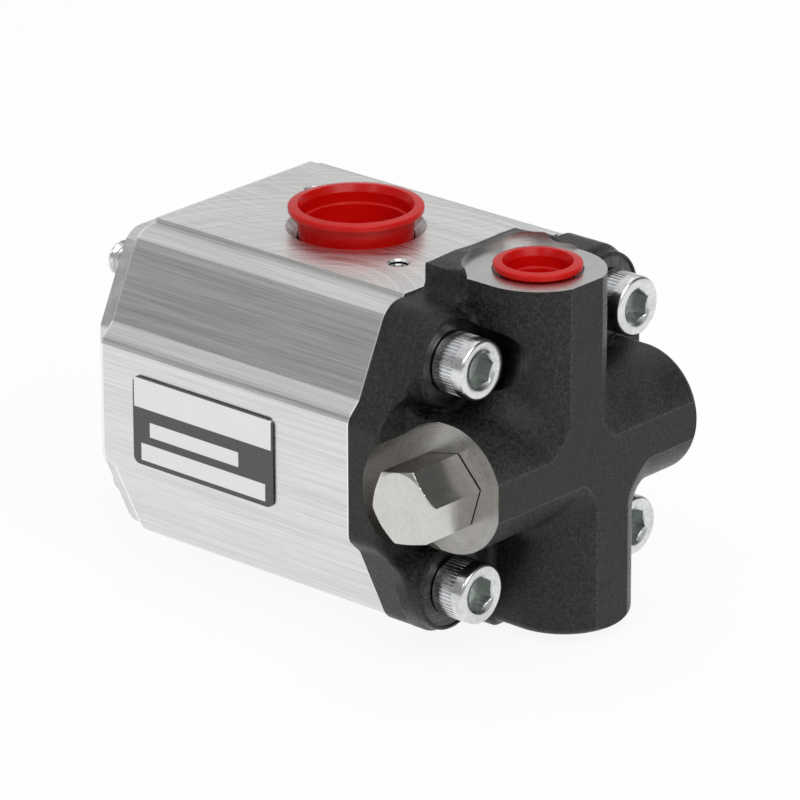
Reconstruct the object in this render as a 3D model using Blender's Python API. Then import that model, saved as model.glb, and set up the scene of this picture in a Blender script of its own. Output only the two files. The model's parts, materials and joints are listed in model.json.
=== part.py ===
"""External gear pump with a cast rear valve cover, capped ports and through bolts.

The script works in metres. The pump's own axes are: +X to the right seen from the rear cover,
+Y towards the drive end, +Z up, with Y = 0 on the body's rear face and the gears' axes at Z = 0.
The empty pump_frame moves all of it so that the world origin is below the middle of the box.
"""

from math import atan2, cos, hypot, pi, radians, sin, sqrt, tan

import bmesh
import bpy

MM = 0.001

# Running and seating clearances
SEAT_GAP = 0.3 * MM
RUNNING_GAP = 0.25 * MM

# Extruded aluminium body
BODY_LENGTH = 85.4 * MM
BODY_HALF_WIDTH = 50.4 * MM
BODY_HALF_HEIGHT = 42.4 * MM
SHOULDER_CORNER_X = 35.8 * MM
SHOULDER_RADIUS = 7.0 * MM
KINK_X = 46.2 * MM
KINK_Z = 20.2 * MM
KINK_RADIUS = 2.5 * MM
SIDE_CORNER_RADIUS = 4.0 * MM
LAND_HALF_WIDTH = 29.3 * MM
LAND_RISE = 1.2 * MM
LAND_STEP = 0.4 * MM

# Gears: both have the same number of teeth
TEETH = 12
CENTRE_DISTANCE = 36.0 * MM
PRESSURE_ANGLE = radians(28.0)
TIP_RADIUS = 20.85 * MM
TIP_TO_ROOT_CLEARANCE = 0.35 * MM
BACKLASH = 0.30 * MM
GEAR_FACE_WIDTH = 32.0 * MM
JOURNAL_RADIUS = 9.0 * MM
JOURNAL_CHAMFER = 0.6 * MM
REAR_END_CLEARANCE = 1.2 * MM
TANG_THICKNESS = 8.0 * MM
TANG_LENGTH = 7.0 * MM
SHAFT_COLLAR_LENGTH = 0.8 * MM

# Bearing blocks and bushes
BUSH_WALL = 1.2 * MM
BUSH_LENGTH = 20.0 * MM
BUSH_RECESS = 0.5 * MM
RELIEF_SLOT_WIDTH = 5.0 * MM
RELIEF_SLOT_DEPTH = 1.5 * MM
RELIEF_SLOT_LENGTH = 9.0 * MM

# Seals
BODY_SEAL_WIDTH = 2.2 * MM
BODY_SEAL_HEIGHT = 1.3 * MM
BODY_SEAL_WALL = 1.4 * MM
AXIAL_SEAL_RADIUS = 14.6 * MM
AXIAL_SEAL_WIDTH = 2.0 * MM
AXIAL_SEAL_HEIGHT = 1.6 * MM
AXIAL_SEAL_LIFT = radians(25.0)
AXIAL_SEAL_MEETING = radians(35.0)
PASSAGE_SEAL_WIDTH = 1.5 * MM
SHAFT_SEAL_RADIUS = 15.0 * MM
SHAFT_SEAL_WIDTH = 5.5 * MM
SHAFT_SEAL_WALL = 1.2 * MM
CIRCLIP_THICKNESS = 1.0 * MM
CIRCLIP_DEPTH = 0.9 * MM
CIRCLIP_WIDTH = 2.6 * MM
CIRCLIP_OPENING = radians(34.0)

# Front mounting cover with its pilot round the drive shaft
FRONT_PLATE_THICKNESS = 4.0 * MM
FRONT_PLATE_INSET = 1.2 * MM
FRONT_PLATE_SIDE_INSET = 4.2 * MM
PILOT_RADIUS = 26.0 * MM
PILOT_LENGTH = 6.0 * MM
PILOT_CHAMFER = 1.0 * MM
SEAL_BACK_WALL = 2.0 * MM

# Through bolts: M10 socket head cap screws on a square pattern
BOLT_SPACING = 60.0 * MM
BOLT_RADIUS = 5.0 * MM
BOLT_LENGTH = 115.0 * MM
BOLT_TIP_CHAMFER = 0.9 * MM
BOLT_HOLE_CLEARANCE = 0.5 * MM
HEAD_RADIUS = 8.0 * MM
HEAD_HEIGHT = 10.0 * MM
HEAD_CHAMFER = 0.8 * MM
SOCKET_ACROSS_FLATS = 8.0 * MM
SOCKET_DEPTH = 5.5 * MM

# Dowel pins between the body and its covers
DOWEL_RADIUS = 2.5 * MM
DOWEL_X = 43.5 * MM
DOWEL_Z = 13.0 * MM
DOWEL_DEPTH_IN_BODY = 6.0 * MM
DOWEL_DEPTH_IN_COVER = 3.0 * MM

# Inlet port in the body's land
INLET_BORE_RADIUS = 15.3 * MM
INLET_BORE_DEPTH = 19.0 * MM
INLET_CHAMFER = 2.9 * MM
INLET_PASSAGE_RADIUS = 12.5 * MM
FLANGE_HOLE_X = 13.5 * MM
FLANGE_HOLE_Y = 26.6 * MM
FLANGE_HOLE_RADIUS = 2.6 * MM
FLANGE_HOLE_COUNTERSINK = 0.5 * MM
FLANGE_HOLE_DEPTH = 13.0 * MM

# Outlet passage from the gears to the rear cover
PASSAGE_RADIUS = 6.0 * MM
PASSAGE_Z = -31.0 * MM
PASSAGE_OVERRUN = 3.0 * MM
OUTLET_WELL_RADIUS = 5.5 * MM

# Rear valve cover casting
PLATE_THICKNESS = 13.0 * MM
PLATE_WAIST_THICKNESS = 10.0 * MM
PLATE_WAIST_HALF_HEIGHT = 19.0 * MM
PLATE_WAIST_RUNOUT = 5.0 * MM
PLATE_OVERHANG = 0.5 * MM
PLATE_TOP_RISE = 0.7 * MM
PAD_RADIUS = 12.3 * MM
PAD_DRAFT = 0.4 * MM
PAD_HEIGHT = 3.2 * MM
SPOT_FACE_RADIUS = 11.0 * MM
SPOT_FACE_DEPTH = 0.4 * MM
BOSS_RADIUS = 17.3 * MM
BOSS_AXIS_Y = -22.4 * MM
OUTLET_BOSS_X = -4.6 * MM
OUTLET_FACE_Z = 49.0 * MM
LOWER_BOSS_X = 6.0 * MM
LOWER_BOSS_BOTTOM_Z = -47.0 * MM
CROSS_BOSS_RADIUS = 17.0 * MM
CROSS_BOSS_HALF_LENGTH = 39.6 * MM
BOSS_END_ROUND = 2.4 * MM
FRONT_FLAT_DEPTH = 16.3 * MM
WEB_FILLET_RADIUS = 5.0 * MM
WEB_FILLET_END_RADIUS = 1.2 * MM
EAR_HALF_WIDTH = 17.0 * MM
EAR_CORNER_RADIUS = 3.0 * MM
EAR_ROOT_RADIUS = 4.0 * MM
LOWER_EAR_BOTTOM_Z = -49.3 * MM
LOWER_EAR_SLOPE_RISE = 1.9 * MM
LOWER_EAR_SLOPE_LENGTH = 3.6 * MM
FACE_MILL_RADIUS = 18.4 * MM
FACE_MILL_OFFSET = 1.0 * MM
MACHINING_ALLOWANCE = 0.6 * MM
PLUG_SPOT_FACE_RADIUS = 17.3 * MM
PLUG_SPOT_FACE_DEPTH = 1.4 * MM
CORE_RADIUS = 6.7 * MM
CORE_OVERRUN = 2.0 * MM
INFLOW_OVERRUN = 1.5 * MM

# Corners (x, z, rounding in mm) of the upper ear: a low part at the left and a hump at the right
UPPER_EAR_AT_JOINT = [
    (-17.4, 48.3, 0.8),
    (-10.5, 49.2, 1.5),
    (-3.0, 47.7, 2.0),
    (3.0, 48.2, 2.0),
    (6.6, 48.7, 2.0),
    (12.4, 48.2, 1.5),
]
UPPER_EAR_AT_REAR = [
    (-22.4, 51.4, 0.8),
    (-10.5, 51.9, 1.5),
    (-3.0, 54.0, 2.0),
    (3.0, 56.3, 2.0),
    (6.6, 54.9, 2.0),
    (13.1, 50.2, 1.5),
]

# Outlet port, valve bore and cored passages in the casting
OUTLET_BORE_RADIUS = 9.3 * MM
OUTLET_BORE_DEPTH = 15.0 * MM
OUTLET_CHAMFER = 2.3 * MM
OUTLET_PASSAGE_RADIUS = 7.4 * MM
VALVE_BORE_RADIUS = 8.0 * MM
VALVE_BORE_END_WALL = 8.4 * MM
PLUG_THREAD_RADIUS = 8.7 * MM
PLUG_THREAD_DEPTH = 13.5 * MM
PLUG_SEAT_CHAMFER = 0.5 * MM

# Valve plug, spool and spring
PLUG_ACROSS_FLATS = 18.5 * MM
PLUG_HEX_LENGTH = 17.2 * MM
PLUG_HEX_TURN = radians(47.0)
PLUG_FACE_CHAMFER = 1.1 * MM
PLUG_BORE_RADIUS = 6.6 * MM
PLUG_BORE_DEPTH = 11.0 * MM
PLUG_SEAL_SECTION = 0.45 * MM
SPOOL_TRAVEL = 6.0 * MM
SPOOL_STOP_CLEARANCE = 3.0 * MM
SPOOL_WAIST_RADIUS = 5.2 * MM
SPOOL_WAIST_LENGTH = 9.0 * MM
SPOOL_GROOVE_DEPTH = 0.5 * MM
SPRING_RADIUS = 4.8 * MM
SPRING_WIRE_RADIUS = 0.75 * MM
SPRING_TURNS = 5

# Plastic port caps
CAP_WALL = 0.9 * MM
CAP_RIM_HEIGHT = 1.9 * MM
CAP_TAPER = 0.7 * MM
CAP_LEDGE_DEPTH = 4.6 * MM
CAP_LEDGE_WIDTH = 0.8 * MM
INLET_CAP_RIM_RADIUS = 17.6 * MM
INLET_CAP_TOP_RISE = 6.1 * MM
INLET_CAP_SKIRT_DEPTH = 11.0 * MM
OUTLET_CAP_RIM_RADIUS = 11.35 * MM
OUTLET_CAP_TOP_RISE = 2.2 * MM
OUTLET_CAP_SKIRT_DEPTH = 9.0 * MM

# Blank name plate on the left side
NAME_PLATE_LENGTH = 48.5 * MM
NAME_PLATE_HEIGHT = 24.0 * MM
NAME_PLATE_THICKNESS = 0.4 * MM
NAME_PLATE_CORNER = 2.0 * MM
NAME_PLATE_Y = 49.5 * MM
NAME_PLATE_Z = -2.3 * MM

# Facets round a full circle
FINE = 36
MEDIUM = 24
COARSE = 12
SPOT_FACETS = 26
LOBE_FACETS = 22
SEAL_LOBE_FACETS = 16
CAP_FACETS = 28
SCREW_FACETS = 20

# Places worked out from the sizes above
GEAR_OFFSET = CENTRE_DISTANCE / 2
BOLT_OFFSET = BOLT_SPACING / 2
BODY_MIDDLE_Y = BODY_LENGTH / 2
LAND_TOP_Z = BODY_HALF_HEIGHT + LAND_RISE
CHAMBER_RADIUS = TIP_RADIUS + RUNNING_GAP
BLOCK_LENGTH = (BODY_LENGTH - GEAR_FACE_WIDTH) / 2 - 2 * SEAT_GAP
BUSH_INNER_RADIUS = JOURNAL_RADIUS + RUNNING_GAP
BUSH_OUTER_RADIUS = BUSH_INNER_RADIUS + BUSH_WALL
BLOCK_BORE_RADIUS = BUSH_OUTER_RADIUS + SEAT_GAP
BODY_SEAL_INNER = CHAMBER_RADIUS + BODY_SEAL_WALL + SEAT_GAP
FRONT_PLATE_BACK_Y = BODY_LENGTH + SEAT_GAP
FRONT_PLATE_FACE_Y = FRONT_PLATE_BACK_Y + FRONT_PLATE_THICKNESS
PILOT_FACE_Y = FRONT_PLATE_FACE_Y + PILOT_LENGTH
SEAL_RECESS_Y = FRONT_PLATE_BACK_Y + SEAL_BACK_WALL
SHAFT_END_Y = PILOT_FACE_Y + SHAFT_COLLAR_LENGTH + TANG_LENGTH
PLATE_FRONT_Y = -SEAT_GAP
PLATE_REAR_Y = PLATE_FRONT_Y - PLATE_THICKNESS
PAD_REAR_Y = PLATE_REAR_Y - PAD_HEIGHT
HEAD_SEAT_Y = PAD_REAR_Y + SPOT_FACE_DEPTH
FRONT_FLAT_Y = BOSS_AXIS_Y - FRONT_FLAT_DEPTH
BOLT_HOLE_RADIUS = BOLT_RADIUS + BOLT_HOLE_CLEARANCE
PLUG_SEAT_X = -CROSS_BOSS_HALF_LENGTH + PLUG_SPOT_FACE_DEPTH
PLUG_BACK_X = PLUG_SEAT_X - SEAT_GAP
PLUG_FACE_X = PLUG_BACK_X - PLUG_HEX_LENGTH
PLUG_SPIGOT_END_X = PLUG_SEAT_X + PLUG_THREAD_DEPTH - SEAT_GAP
PLUG_BORE_FLOOR_X = PLUG_SPIGOT_END_X - PLUG_BORE_DEPTH
VALVE_BORE_END_X = CROSS_BOSS_HALF_LENGTH - VALVE_BORE_END_WALL
SPOOL_RIGHT_X = VALVE_BORE_END_X - SEAT_GAP
SPOOL_LEFT_X = PLUG_SPIGOT_END_X + SPOOL_STOP_CLEARANCE + SPOOL_TRAVEL
SPOOL_RADIUS = VALVE_BORE_RADIUS - RUNNING_GAP
LOWEST_Z = LOWER_EAR_BOTTOM_Z
BOX_MIDDLE_X = (PLUG_FACE_X + BODY_HALF_WIDTH + PLATE_OVERHANG) / 2
BOX_MIDDLE_Y = (FRONT_FLAT_Y + SHAFT_END_Y) / 2
BOLT_PLACES = [
    (-BOLT_OFFSET, BOLT_OFFSET),
    (BOLT_OFFSET, BOLT_OFFSET),
    (-BOLT_OFFSET, -BOLT_OFFSET),
    (BOLT_OFFSET, -BOLT_OFFSET),
]
DOWEL_PLACES = [(-DOWEL_X, DOWEL_Z), (DOWEL_X, -DOWEL_Z)]


def clear_scene():
    for item in list(bpy.data.objects):
        bpy.data.objects.remove(item, do_unlink=True)


def make_material(name, colour, roughness, metallic):
    material = bpy.data.materials.new(name)
    material.use_nodes = True
    shader = material.node_tree.nodes["Principled BSDF"]
    shader.inputs["Base Color"].default_value = (*colour, 1.0)
    shader.inputs["Roughness"].default_value = roughness
    shader.inputs["Metallic"].default_value = metallic
    material.diffuse_color = (*colour, 1.0)
    return material


def make_materials():
    return {
        "aluminium": make_material("brushed_aluminium", (0.60, 0.60, 0.59), 0.38, 1.0),
        "pale": make_material("pale_aluminium", (0.72, 0.72, 0.71), 0.5, 1.0),
        "iron": make_material("black_cast_iron", (0.035, 0.035, 0.033), 0.6, 0.6),
        "steel": make_material("gear_steel", (0.45, 0.45, 0.46), 0.3, 1.0),
        "zinc": make_material("zinc_plated_steel", (0.70, 0.71, 0.72), 0.3, 1.0),
        "bronze": make_material("bearing_bronze", (0.55, 0.42, 0.24), 0.4, 1.0),
        "rubber": make_material("black_rubber", (0.02, 0.02, 0.02), 0.7, 0.0),
        "red": make_material("red_plastic", (0.62, 0.01, 0.005), 0.35, 0.0),
        "film": make_material("label_film", (0.45, 0.45, 0.45), 0.5, 0.0),
    }


def place_on_axis(axis, u, v, along):
    """Turn a point of a section (u, v) and its place along the axis into x, y, z."""
    if axis == "X":
        return (along, u, v)
    if axis == "Y":
        return (u, along, v)
    return (u, v, along)


def finish_mesh(mesh_builder, name, location, material, smooth):
    bmesh.ops.recalc_face_normals(mesh_builder, faces=mesh_builder.faces)
    mesh = bpy.data.meshes.new(name)
    mesh_builder.to_mesh(mesh)
    mesh_builder.free()
    mesh.materials.append(material)
    if smooth:
        mesh.shade_smooth()
        mesh.set_sharp_from_angle(angle=radians(32.0))
    piece = bpy.data.objects.new(name, mesh)
    bpy.context.scene.collection.objects.link(piece)
    piece.parent = bpy.data.objects["pump_frame"]
    piece.location = location
    return piece


def prism(name, outline, axis, start, end, material, location=(0, 0, 0), hole=None):
    """Extrude a closed outline, with one hole in it if that is given, along an axis."""
    builder = bmesh.new()
    walls = []
    for ring in [outline] if hole is None else [outline, hole]:
        near = [builder.verts.new(place_on_axis(axis, u, v, start)) for u, v in ring]
        far = [builder.verts.new(place_on_axis(axis, u, v, end)) for u, v in ring]
        walls.append((near, far))
        for i in range(len(ring)):
            j = (i + 1) % len(ring)
            builder.faces.new((near[i], near[j], far[j], far[i]))
    for side in (0, 1):
        if hole is None:
            builder.faces.new(walls[0][side])
        else:
            bridge_rings(builder, walls[0][side], walls[1][side])
    return finish_mesh(builder, name, location, material, True)


def bridge_rings(builder, outer, inner):
    """Fill the face between two rings that have as many points, one inside the other."""
    for i in range(len(outer)):
        j = (i + 1) % len(outer)
        builder.faces.new((outer[i], outer[j], inner[j], inner[i]))


def turned(name, profile, axis, material, location=(0, 0, 0), facets=MEDIUM):
    """Revolve a profile of (radius, place along the axis) points.

    A profile that starts and ends on the axis makes a solid piece, any other one a ring.
    """
    builder = bmesh.new()
    rings = []
    for radius, along in profile:
        count = 1 if radius == 0 else facets
        ring = []
        for i in range(count):
            angle = 2 * pi * i / facets
            point = place_on_axis(axis, radius * cos(angle), radius * sin(angle), along)
            ring.append(builder.verts.new(point))
        rings.append(ring)
    pairs = list(zip(rings, rings[1:]))
    if profile[0][0] != 0:
        pairs.append((rings[-1], rings[0]))
    for first, second in pairs:
        for i in range(facets):
            j = (i + 1) % facets
            corners = [first[i % len(first)], first[j % len(first)]]
            corners += [second[j % len(second)], second[i % len(second)]]
            builder.faces.new(list(dict.fromkeys(corners)))
    return finish_mesh(builder, name, location, material, True)


def rod(name, radius, axis, start, end, material, location=(0, 0, 0), facets=MEDIUM):
    profile = [(0, start), (radius, start), (radius, end), (0, end)]
    return turned(name, profile, axis, material, location, facets)


def loft(name, axis, rings, material):
    """Join sections with as many points each, given as (place along the axis, outline)."""
    builder = bmesh.new()
    loops = []
    for along, outline in rings:
        loops.append([builder.verts.new(place_on_axis(axis, u, v, along)) for u, v in outline])
    walls = []
    for first, second in zip(loops, loops[1:]):
        for i in range(len(first)):
            j = (i + 1) % len(first)
            walls.append(builder.faces.new((first[i], first[j], second[j], second[i])))
    builder.faces.new(loops[0])
    builder.faces.new(loops[-1])
    bmesh.ops.triangulate(builder, faces=walls)
    return finish_mesh(builder, name, (0, 0, 0), material, True)


def block(name, low, high, material):
    """A plain box between two corners."""
    outline = [(low[0], low[2]), (high[0], low[2]), (high[0], high[2]), (low[0], high[2])]
    return prism(name, outline, "Y", low[1], high[1], material)


def rounded_outline(corners, steps=4):
    """Replace each corner (u, v, radius) of a closed outline by an arc of that radius."""
    points = []
    count = len(corners)
    for i in range(count):
        before = corners[i - 1]
        here = corners[i]
        after = corners[(i + 1) % count]
        radius = here[2]
        if radius == 0:
            points.append((here[0], here[1]))
            continue
        back = unit(here, before)
        ahead = unit(here, after)
        between = back[0] * ahead[0] + back[1] * ahead[1]
        half_angle = atan2(sqrt(max(0.0, 1 - between)), sqrt(max(0.0, 1 + between)))
        run = radius / tan(half_angle)
        middle = unit((0, 0), (back[0] + ahead[0], back[1] + ahead[1]))
        reach = radius / sin(half_angle)
        centre = (here[0] + middle[0] * reach, here[1] + middle[1] * reach)
        start = (here[0] + back[0] * run, here[1] + back[1] * run)
        finish = (here[0] + ahead[0] * run, here[1] + ahead[1] * run)
        first = atan2(start[1] - centre[1], start[0] - centre[0])
        last = atan2(finish[1] - centre[1], finish[0] - centre[0])
        sweep = (last - first + pi) % (2 * pi) - pi
        for step in range(steps + 1):
            angle = first + sweep * step / steps
            points.append((centre[0] + radius * cos(angle), centre[1] + radius * sin(angle)))
    return points


def unit(start, end):
    length = hypot(end[0] - start[0], end[1] - start[1])
    return ((end[0] - start[0]) / length, (end[1] - start[1]) / length)


def circle_outline(radius, centre=(0, 0), facets=MEDIUM, turn=0.0):
    angles = [turn + 2 * pi * i / facets for i in range(facets)]
    return [(centre[0] + radius * cos(a), centre[1] + radius * sin(a)) for a in angles]


def figure_eight(radius, facets=LOBE_FACETS):
    """Outline round two circles on the gears' axes that run into each other."""
    opening = atan2(sqrt(radius**2 - GEAR_OFFSET**2), GEAR_OFFSET)
    sweep = 2 * (pi - opening)
    right = [-(pi - opening) + sweep * i / facets for i in range(facets + 1)]
    points = [(GEAR_OFFSET + radius * cos(a), radius * sin(a)) for a in right]
    left = [(-x, -z) for x, z in points]
    return points[:-1] + left[:-1]


def half_round(radius, centre_u, centre_v, root_v, steps=12):
    """Section of a boss: a half circle towards -v and straight sides back to the root."""
    arc = [pi + pi * i / steps for i in range(steps + 1)]
    points = [(centre_u + radius * cos(a), centre_v + radius * sin(a)) for a in arc]
    return points + [(centre_u + radius, root_v), (centre_u - radius, root_v)]


def as_cutter(piece):
    piece.hide_render = True
    piece.display_type = "WIRE"
    return piece


def combine(piece, operation, tools):
    for tool in tools:
        modifier = piece.modifiers.new(tool.name, "BOOLEAN")
        modifier.operation = operation
        modifier.object = as_cutter(tool)


def cut(piece, *tools):
    combine(piece, "DIFFERENCE", tools)


def join(piece, *tools):
    combine(piece, "UNION", tools)


def body_outline(grow, with_land):
    """Profile of the extrusion: rounded shoulders, flat chamfers and a bulge at each side.

    The extrusion is the same above and below; only the land stands on its top.
    """
    slope = (BODY_HALF_HEIGHT - KINK_Z) / (KINK_X - SHOULDER_CORNER_X)
    half = BODY_HALF_WIDTH + grow
    top = BODY_HALF_HEIGHT + grow
    kink = (KINK_X + grow, KINK_Z)
    shoulder = (kink[0] - (top - KINK_Z) / slope, top)
    side = (half, kink[1] - (half - kink[0]))
    right = [(*shoulder, SHOULDER_RADIUS), (*kink, KINK_RADIUS), (*side, SIDE_CORNER_RADIUS)]
    lower = [(x, -z, r) for x, z, r in reversed(right)]
    left_lower = [(-x, -z, r) for x, z, r in right]
    left = [(-x, z, r) for x, z, r in reversed(right)]
    land = []
    if with_land:
        foot = LAND_HALF_WIDTH + LAND_STEP
        land = [(-foot, top, 0), (-LAND_HALF_WIDTH, LAND_TOP_Z, 0)]
        land += [(LAND_HALF_WIDTH, LAND_TOP_Z, 0), (foot, top, 0)]
    return rounded_outline(right + lower + left_lower + left + land)


def bolt_holes(start, end, material, prefix):
    holes = []
    for i, (x, z) in enumerate(BOLT_PLACES):
        name = f"{prefix}_bolt_hole_{i + 1}"
        holes.append(rod(name, BOLT_HOLE_RADIUS, "Y", start, end, material, (x, 0, z), COARSE))
    return holes


def dowel_holes(start, end, material, prefix):
    radius = DOWEL_RADIUS + SEAT_GAP
    holes = []
    for i, (x, z) in enumerate(DOWEL_PLACES):
        holes.append(rod(f"{prefix}_{i + 1}", radius, "Y", start, end, material, (x, 0, z), COARSE))
    return holes


def gear_body(materials):
    """Body extrusion with the gear chamber, both seal grooves, the inlet and the outlet passage."""
    metal = materials["aluminium"]
    body = prism("gear_body", body_outline(0, True), "Y", 0, BODY_LENGTH, metal)
    past = 1 * MM
    chamber = prism(
        "gear_chamber", figure_eight(CHAMBER_RADIUS), "Y", -past, BODY_LENGTH + past, metal
    )
    inlet_mouth = INLET_BORE_RADIUS + INLET_CHAMFER
    inlet_profile = [
        (0, LAND_TOP_Z + past),
        (inlet_mouth + past, LAND_TOP_Z + past),
        (INLET_BORE_RADIUS, LAND_TOP_Z - INLET_CHAMFER),
        (INLET_BORE_RADIUS, LAND_TOP_Z - INLET_BORE_DEPTH),
        (INLET_PASSAGE_RADIUS, LAND_TOP_Z - INLET_BORE_DEPTH - past),
        (INLET_PASSAGE_RADIUS, 0),
        (0, 0),
    ]
    inlet = turned("inlet_bore", inlet_profile, "Z", metal, (0, BODY_MIDDLE_Y, 0), FINE)
    well = rod("outlet_well", OUTLET_WELL_RADIUS, "Z", PASSAGE_Z, 0, metal, (0, BODY_MIDDLE_Y, 0))
    passage_end = BODY_MIDDLE_Y + PASSAGE_RADIUS + PASSAGE_OVERRUN
    passage = rod(
        "outlet_passage", PASSAGE_RADIUS, "Y", -past, passage_end, metal, (0, 0, PASSAGE_Z)
    )
    cut(body, chamber, inlet, well, passage)
    cut(body, *bolt_holes(-past, BODY_LENGTH + past, metal, "body"))
    cut(body, *flange_holes(metal))
    for end, direction in ((0, 1), (BODY_LENGTH, -1)):
        low, high = sorted((end - direction * past, end + direction * seal_groove_depth()))
        groove = figure_eight_band("body_seal_groove", low, high, SEAT_GAP, metal)
        cut(body, groove)
        low, high = sorted((end - direction * past, end + direction * DOWEL_DEPTH_IN_BODY))
        cut(body, *dowel_holes(low, high, metal, "body_dowel_hole"))
    cut(body, passage_seal_ring("passage_seal_groove", -past, seal_groove_depth(), SEAT_GAP, metal))
    return body


def seal_groove_depth():
    return BODY_SEAL_HEIGHT + SEAT_GAP


def flange_holes(metal):
    """The two tapped holes that stand diagonally beside the inlet."""
    mouth = FLANGE_HOLE_RADIUS + FLANGE_HOLE_COUNTERSINK
    over = 0.5 * MM
    profile = [
        (0, LAND_TOP_Z + over),
        (mouth + over, LAND_TOP_Z + over),
        (FLANGE_HOLE_RADIUS, LAND_TOP_Z - FLANGE_HOLE_COUNTERSINK),
        (FLANGE_HOLE_RADIUS, LAND_TOP_Z - FLANGE_HOLE_DEPTH),
        (0, LAND_TOP_Z - FLANGE_HOLE_DEPTH - FLANGE_HOLE_RADIUS / 2),
    ]
    holes = []
    for i, side in enumerate((-1, 1)):
        place = (side * FLANGE_HOLE_X, BODY_MIDDLE_Y + side * FLANGE_HOLE_Y, 0)
        holes.append(turned(f"flange_hole_{i + 1}", profile, "Z", metal, place, COARSE))
    return holes


def figure_eight_band(name, start, end, grow, material):
    """Ring of constant width round the gear chamber, for a body seal or its groove."""
    inner = figure_eight(BODY_SEAL_INNER - grow, SEAL_LOBE_FACETS)
    outer = figure_eight(BODY_SEAL_INNER + BODY_SEAL_WIDTH + grow, SEAL_LOBE_FACETS)
    return prism(name, outer, "Y", start, end, material, hole=inner)


def passage_seal_ring(name, start, end, grow, material):
    inner = PASSAGE_RADIUS + BODY_SEAL_WALL + SEAT_GAP - grow
    outer = PASSAGE_RADIUS + BODY_SEAL_WALL + SEAT_GAP + PASSAGE_SEAL_WIDTH + grow
    profile = [(inner, start), (outer, start), (outer, end), (inner, end)]
    return turned(name, profile, "Y", material, (0, 0, PASSAGE_Z))


def static_seals(materials):
    rubber = materials["rubber"]
    figure_eight_band("body_seal_rear", 0, BODY_SEAL_HEIGHT, 0, rubber)
    figure_eight_band("body_seal_front", BODY_LENGTH - BODY_SEAL_HEIGHT, BODY_LENGTH, 0, rubber)
    passage_seal_ring("outlet_passage_seal", 0, BODY_SEAL_HEIGHT, 0, rubber)


def dowel_pins(materials):
    """Two pins across each joint face of the body."""
    chamfer = 0.5 * MM
    joints = [("rear", 0, -1), ("front", BODY_LENGTH, 1)]
    for label, face, outward in joints:
        inner = face - outward * (DOWEL_DEPTH_IN_BODY - SEAT_GAP)
        outer = face + outward * DOWEL_DEPTH_IN_COVER
        low, high = sorted((inner, outer))
        profile = [
            (0, low),
            (DOWEL_RADIUS - chamfer, low),
            (DOWEL_RADIUS, low + chamfer),
            (DOWEL_RADIUS, high - chamfer),
            (DOWEL_RADIUS - chamfer, high),
            (0, high),
        ]
        for i, (x, z) in enumerate(DOWEL_PLACES):
            name = f"dowel_pin_{label}_{i + 1}"
            turned(name, profile, "Y", materials["steel"], (x, 0, z), COARSE)


def involute_gear_outline(phase, flank_steps=3, root_steps=1):
    """Tooth outline: involute flanks on the working base circle and round tips and roots."""
    pitch_radius = CENTRE_DISTANCE / 2
    base_radius = pitch_radius * cos(PRESSURE_ANGLE)
    root_radius = CENTRE_DISTANCE - TIP_RADIUS - TIP_TO_ROOT_CLEARANCE
    tooth_angle = pi / TEETH - BACKLASH / 2 / pitch_radius
    pitch_involute = tan(PRESSURE_ANGLE) - PRESSURE_ANGLE
    half_at_base = tooth_angle / 2 + pitch_involute
    tip_roll = sqrt((TIP_RADIUS / base_radius) ** 2 - 1)
    flank = []
    for step in range(flank_steps + 1):
        roll = tip_roll * step / flank_steps
        radius = base_radius * sqrt(1 + roll * roll)
        flank.append((radius, half_at_base - (roll - atan2(roll, 1))))
    points = []
    for tooth in range(TEETH):
        middle = phase + 2 * pi * tooth / TEETH
        gap_half = pi / TEETH - half_at_base
        for step in range(root_steps + 1):
            angle = middle - pi / TEETH - gap_half + 2 * gap_half * step / root_steps
            points.append((root_radius * cos(angle), root_radius * sin(angle)))
        for radius, half in flank:
            points.append((radius * cos(middle - half), radius * sin(middle - half)))
        for radius, half in reversed(flank):
            points.append((radius * cos(middle + half), radius * sin(middle + half)))
    return points


def journal_profile(start, end):
    """Plain shaft between two ends, both with a small chamfer."""
    inner = JOURNAL_RADIUS - JOURNAL_CHAMFER
    return [
        (0, start),
        (inner, start),
        (JOURNAL_RADIUS, start + JOURNAL_CHAMFER),
        (JOURNAL_RADIUS, end - JOURNAL_CHAMFER),
        (inner, end),
        (0, end),
    ]


def gears(materials):
    """Drive gear with its shaft and driving tang, and the driven gear in mesh with it."""
    steel = materials["steel"]
    rear = BODY_MIDDLE_Y - GEAR_FACE_WIDTH / 2
    front = BODY_MIDDLE_Y + GEAR_FACE_WIDTH / 2
    journal_end = BODY_LENGTH - REAR_END_CLEARANCE
    half_pitch = pi / TEETH
    shafts = [("drive_gear", GEAR_OFFSET, SHAFT_END_Y, 0.0)]
    shafts.append(("driven_gear", -GEAR_OFFSET, journal_end, half_pitch))
    for name, x, shaft_end, phase in shafts:
        place = (x, 0, 0)
        outline = involute_gear_outline(phase)
        gear = prism(name, outline, "Y", rear, front, steel, place)
        profile = journal_profile(REAR_END_CLEARANCE, shaft_end)
        join(gear, turned(f"{name}_shaft", profile, "Y", steel, place))
        if name == "drive_gear":
            cut(gear, *tang_flats(steel, place))


def tang_flats(steel, place):
    """Material milled off both sides of the shaft's end, which leaves the driving tang."""
    over = 2 * MM
    start = SHAFT_END_Y - TANG_LENGTH
    cutters = []
    for i, side in enumerate((-1, 1)):
        low = side * TANG_THICKNESS / 2
        high = side * (JOURNAL_RADIUS + over)
        wide = JOURNAL_RADIUS + over
        outline = [(-wide, low), (wide, low), (wide, high), (-wide, high)]
        name = f"tang_flat_{i + 1}"
        cutters.append(prism(name, outline, "Y", start, SHAFT_END_Y + over, steel, place))
    return cutters


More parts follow.
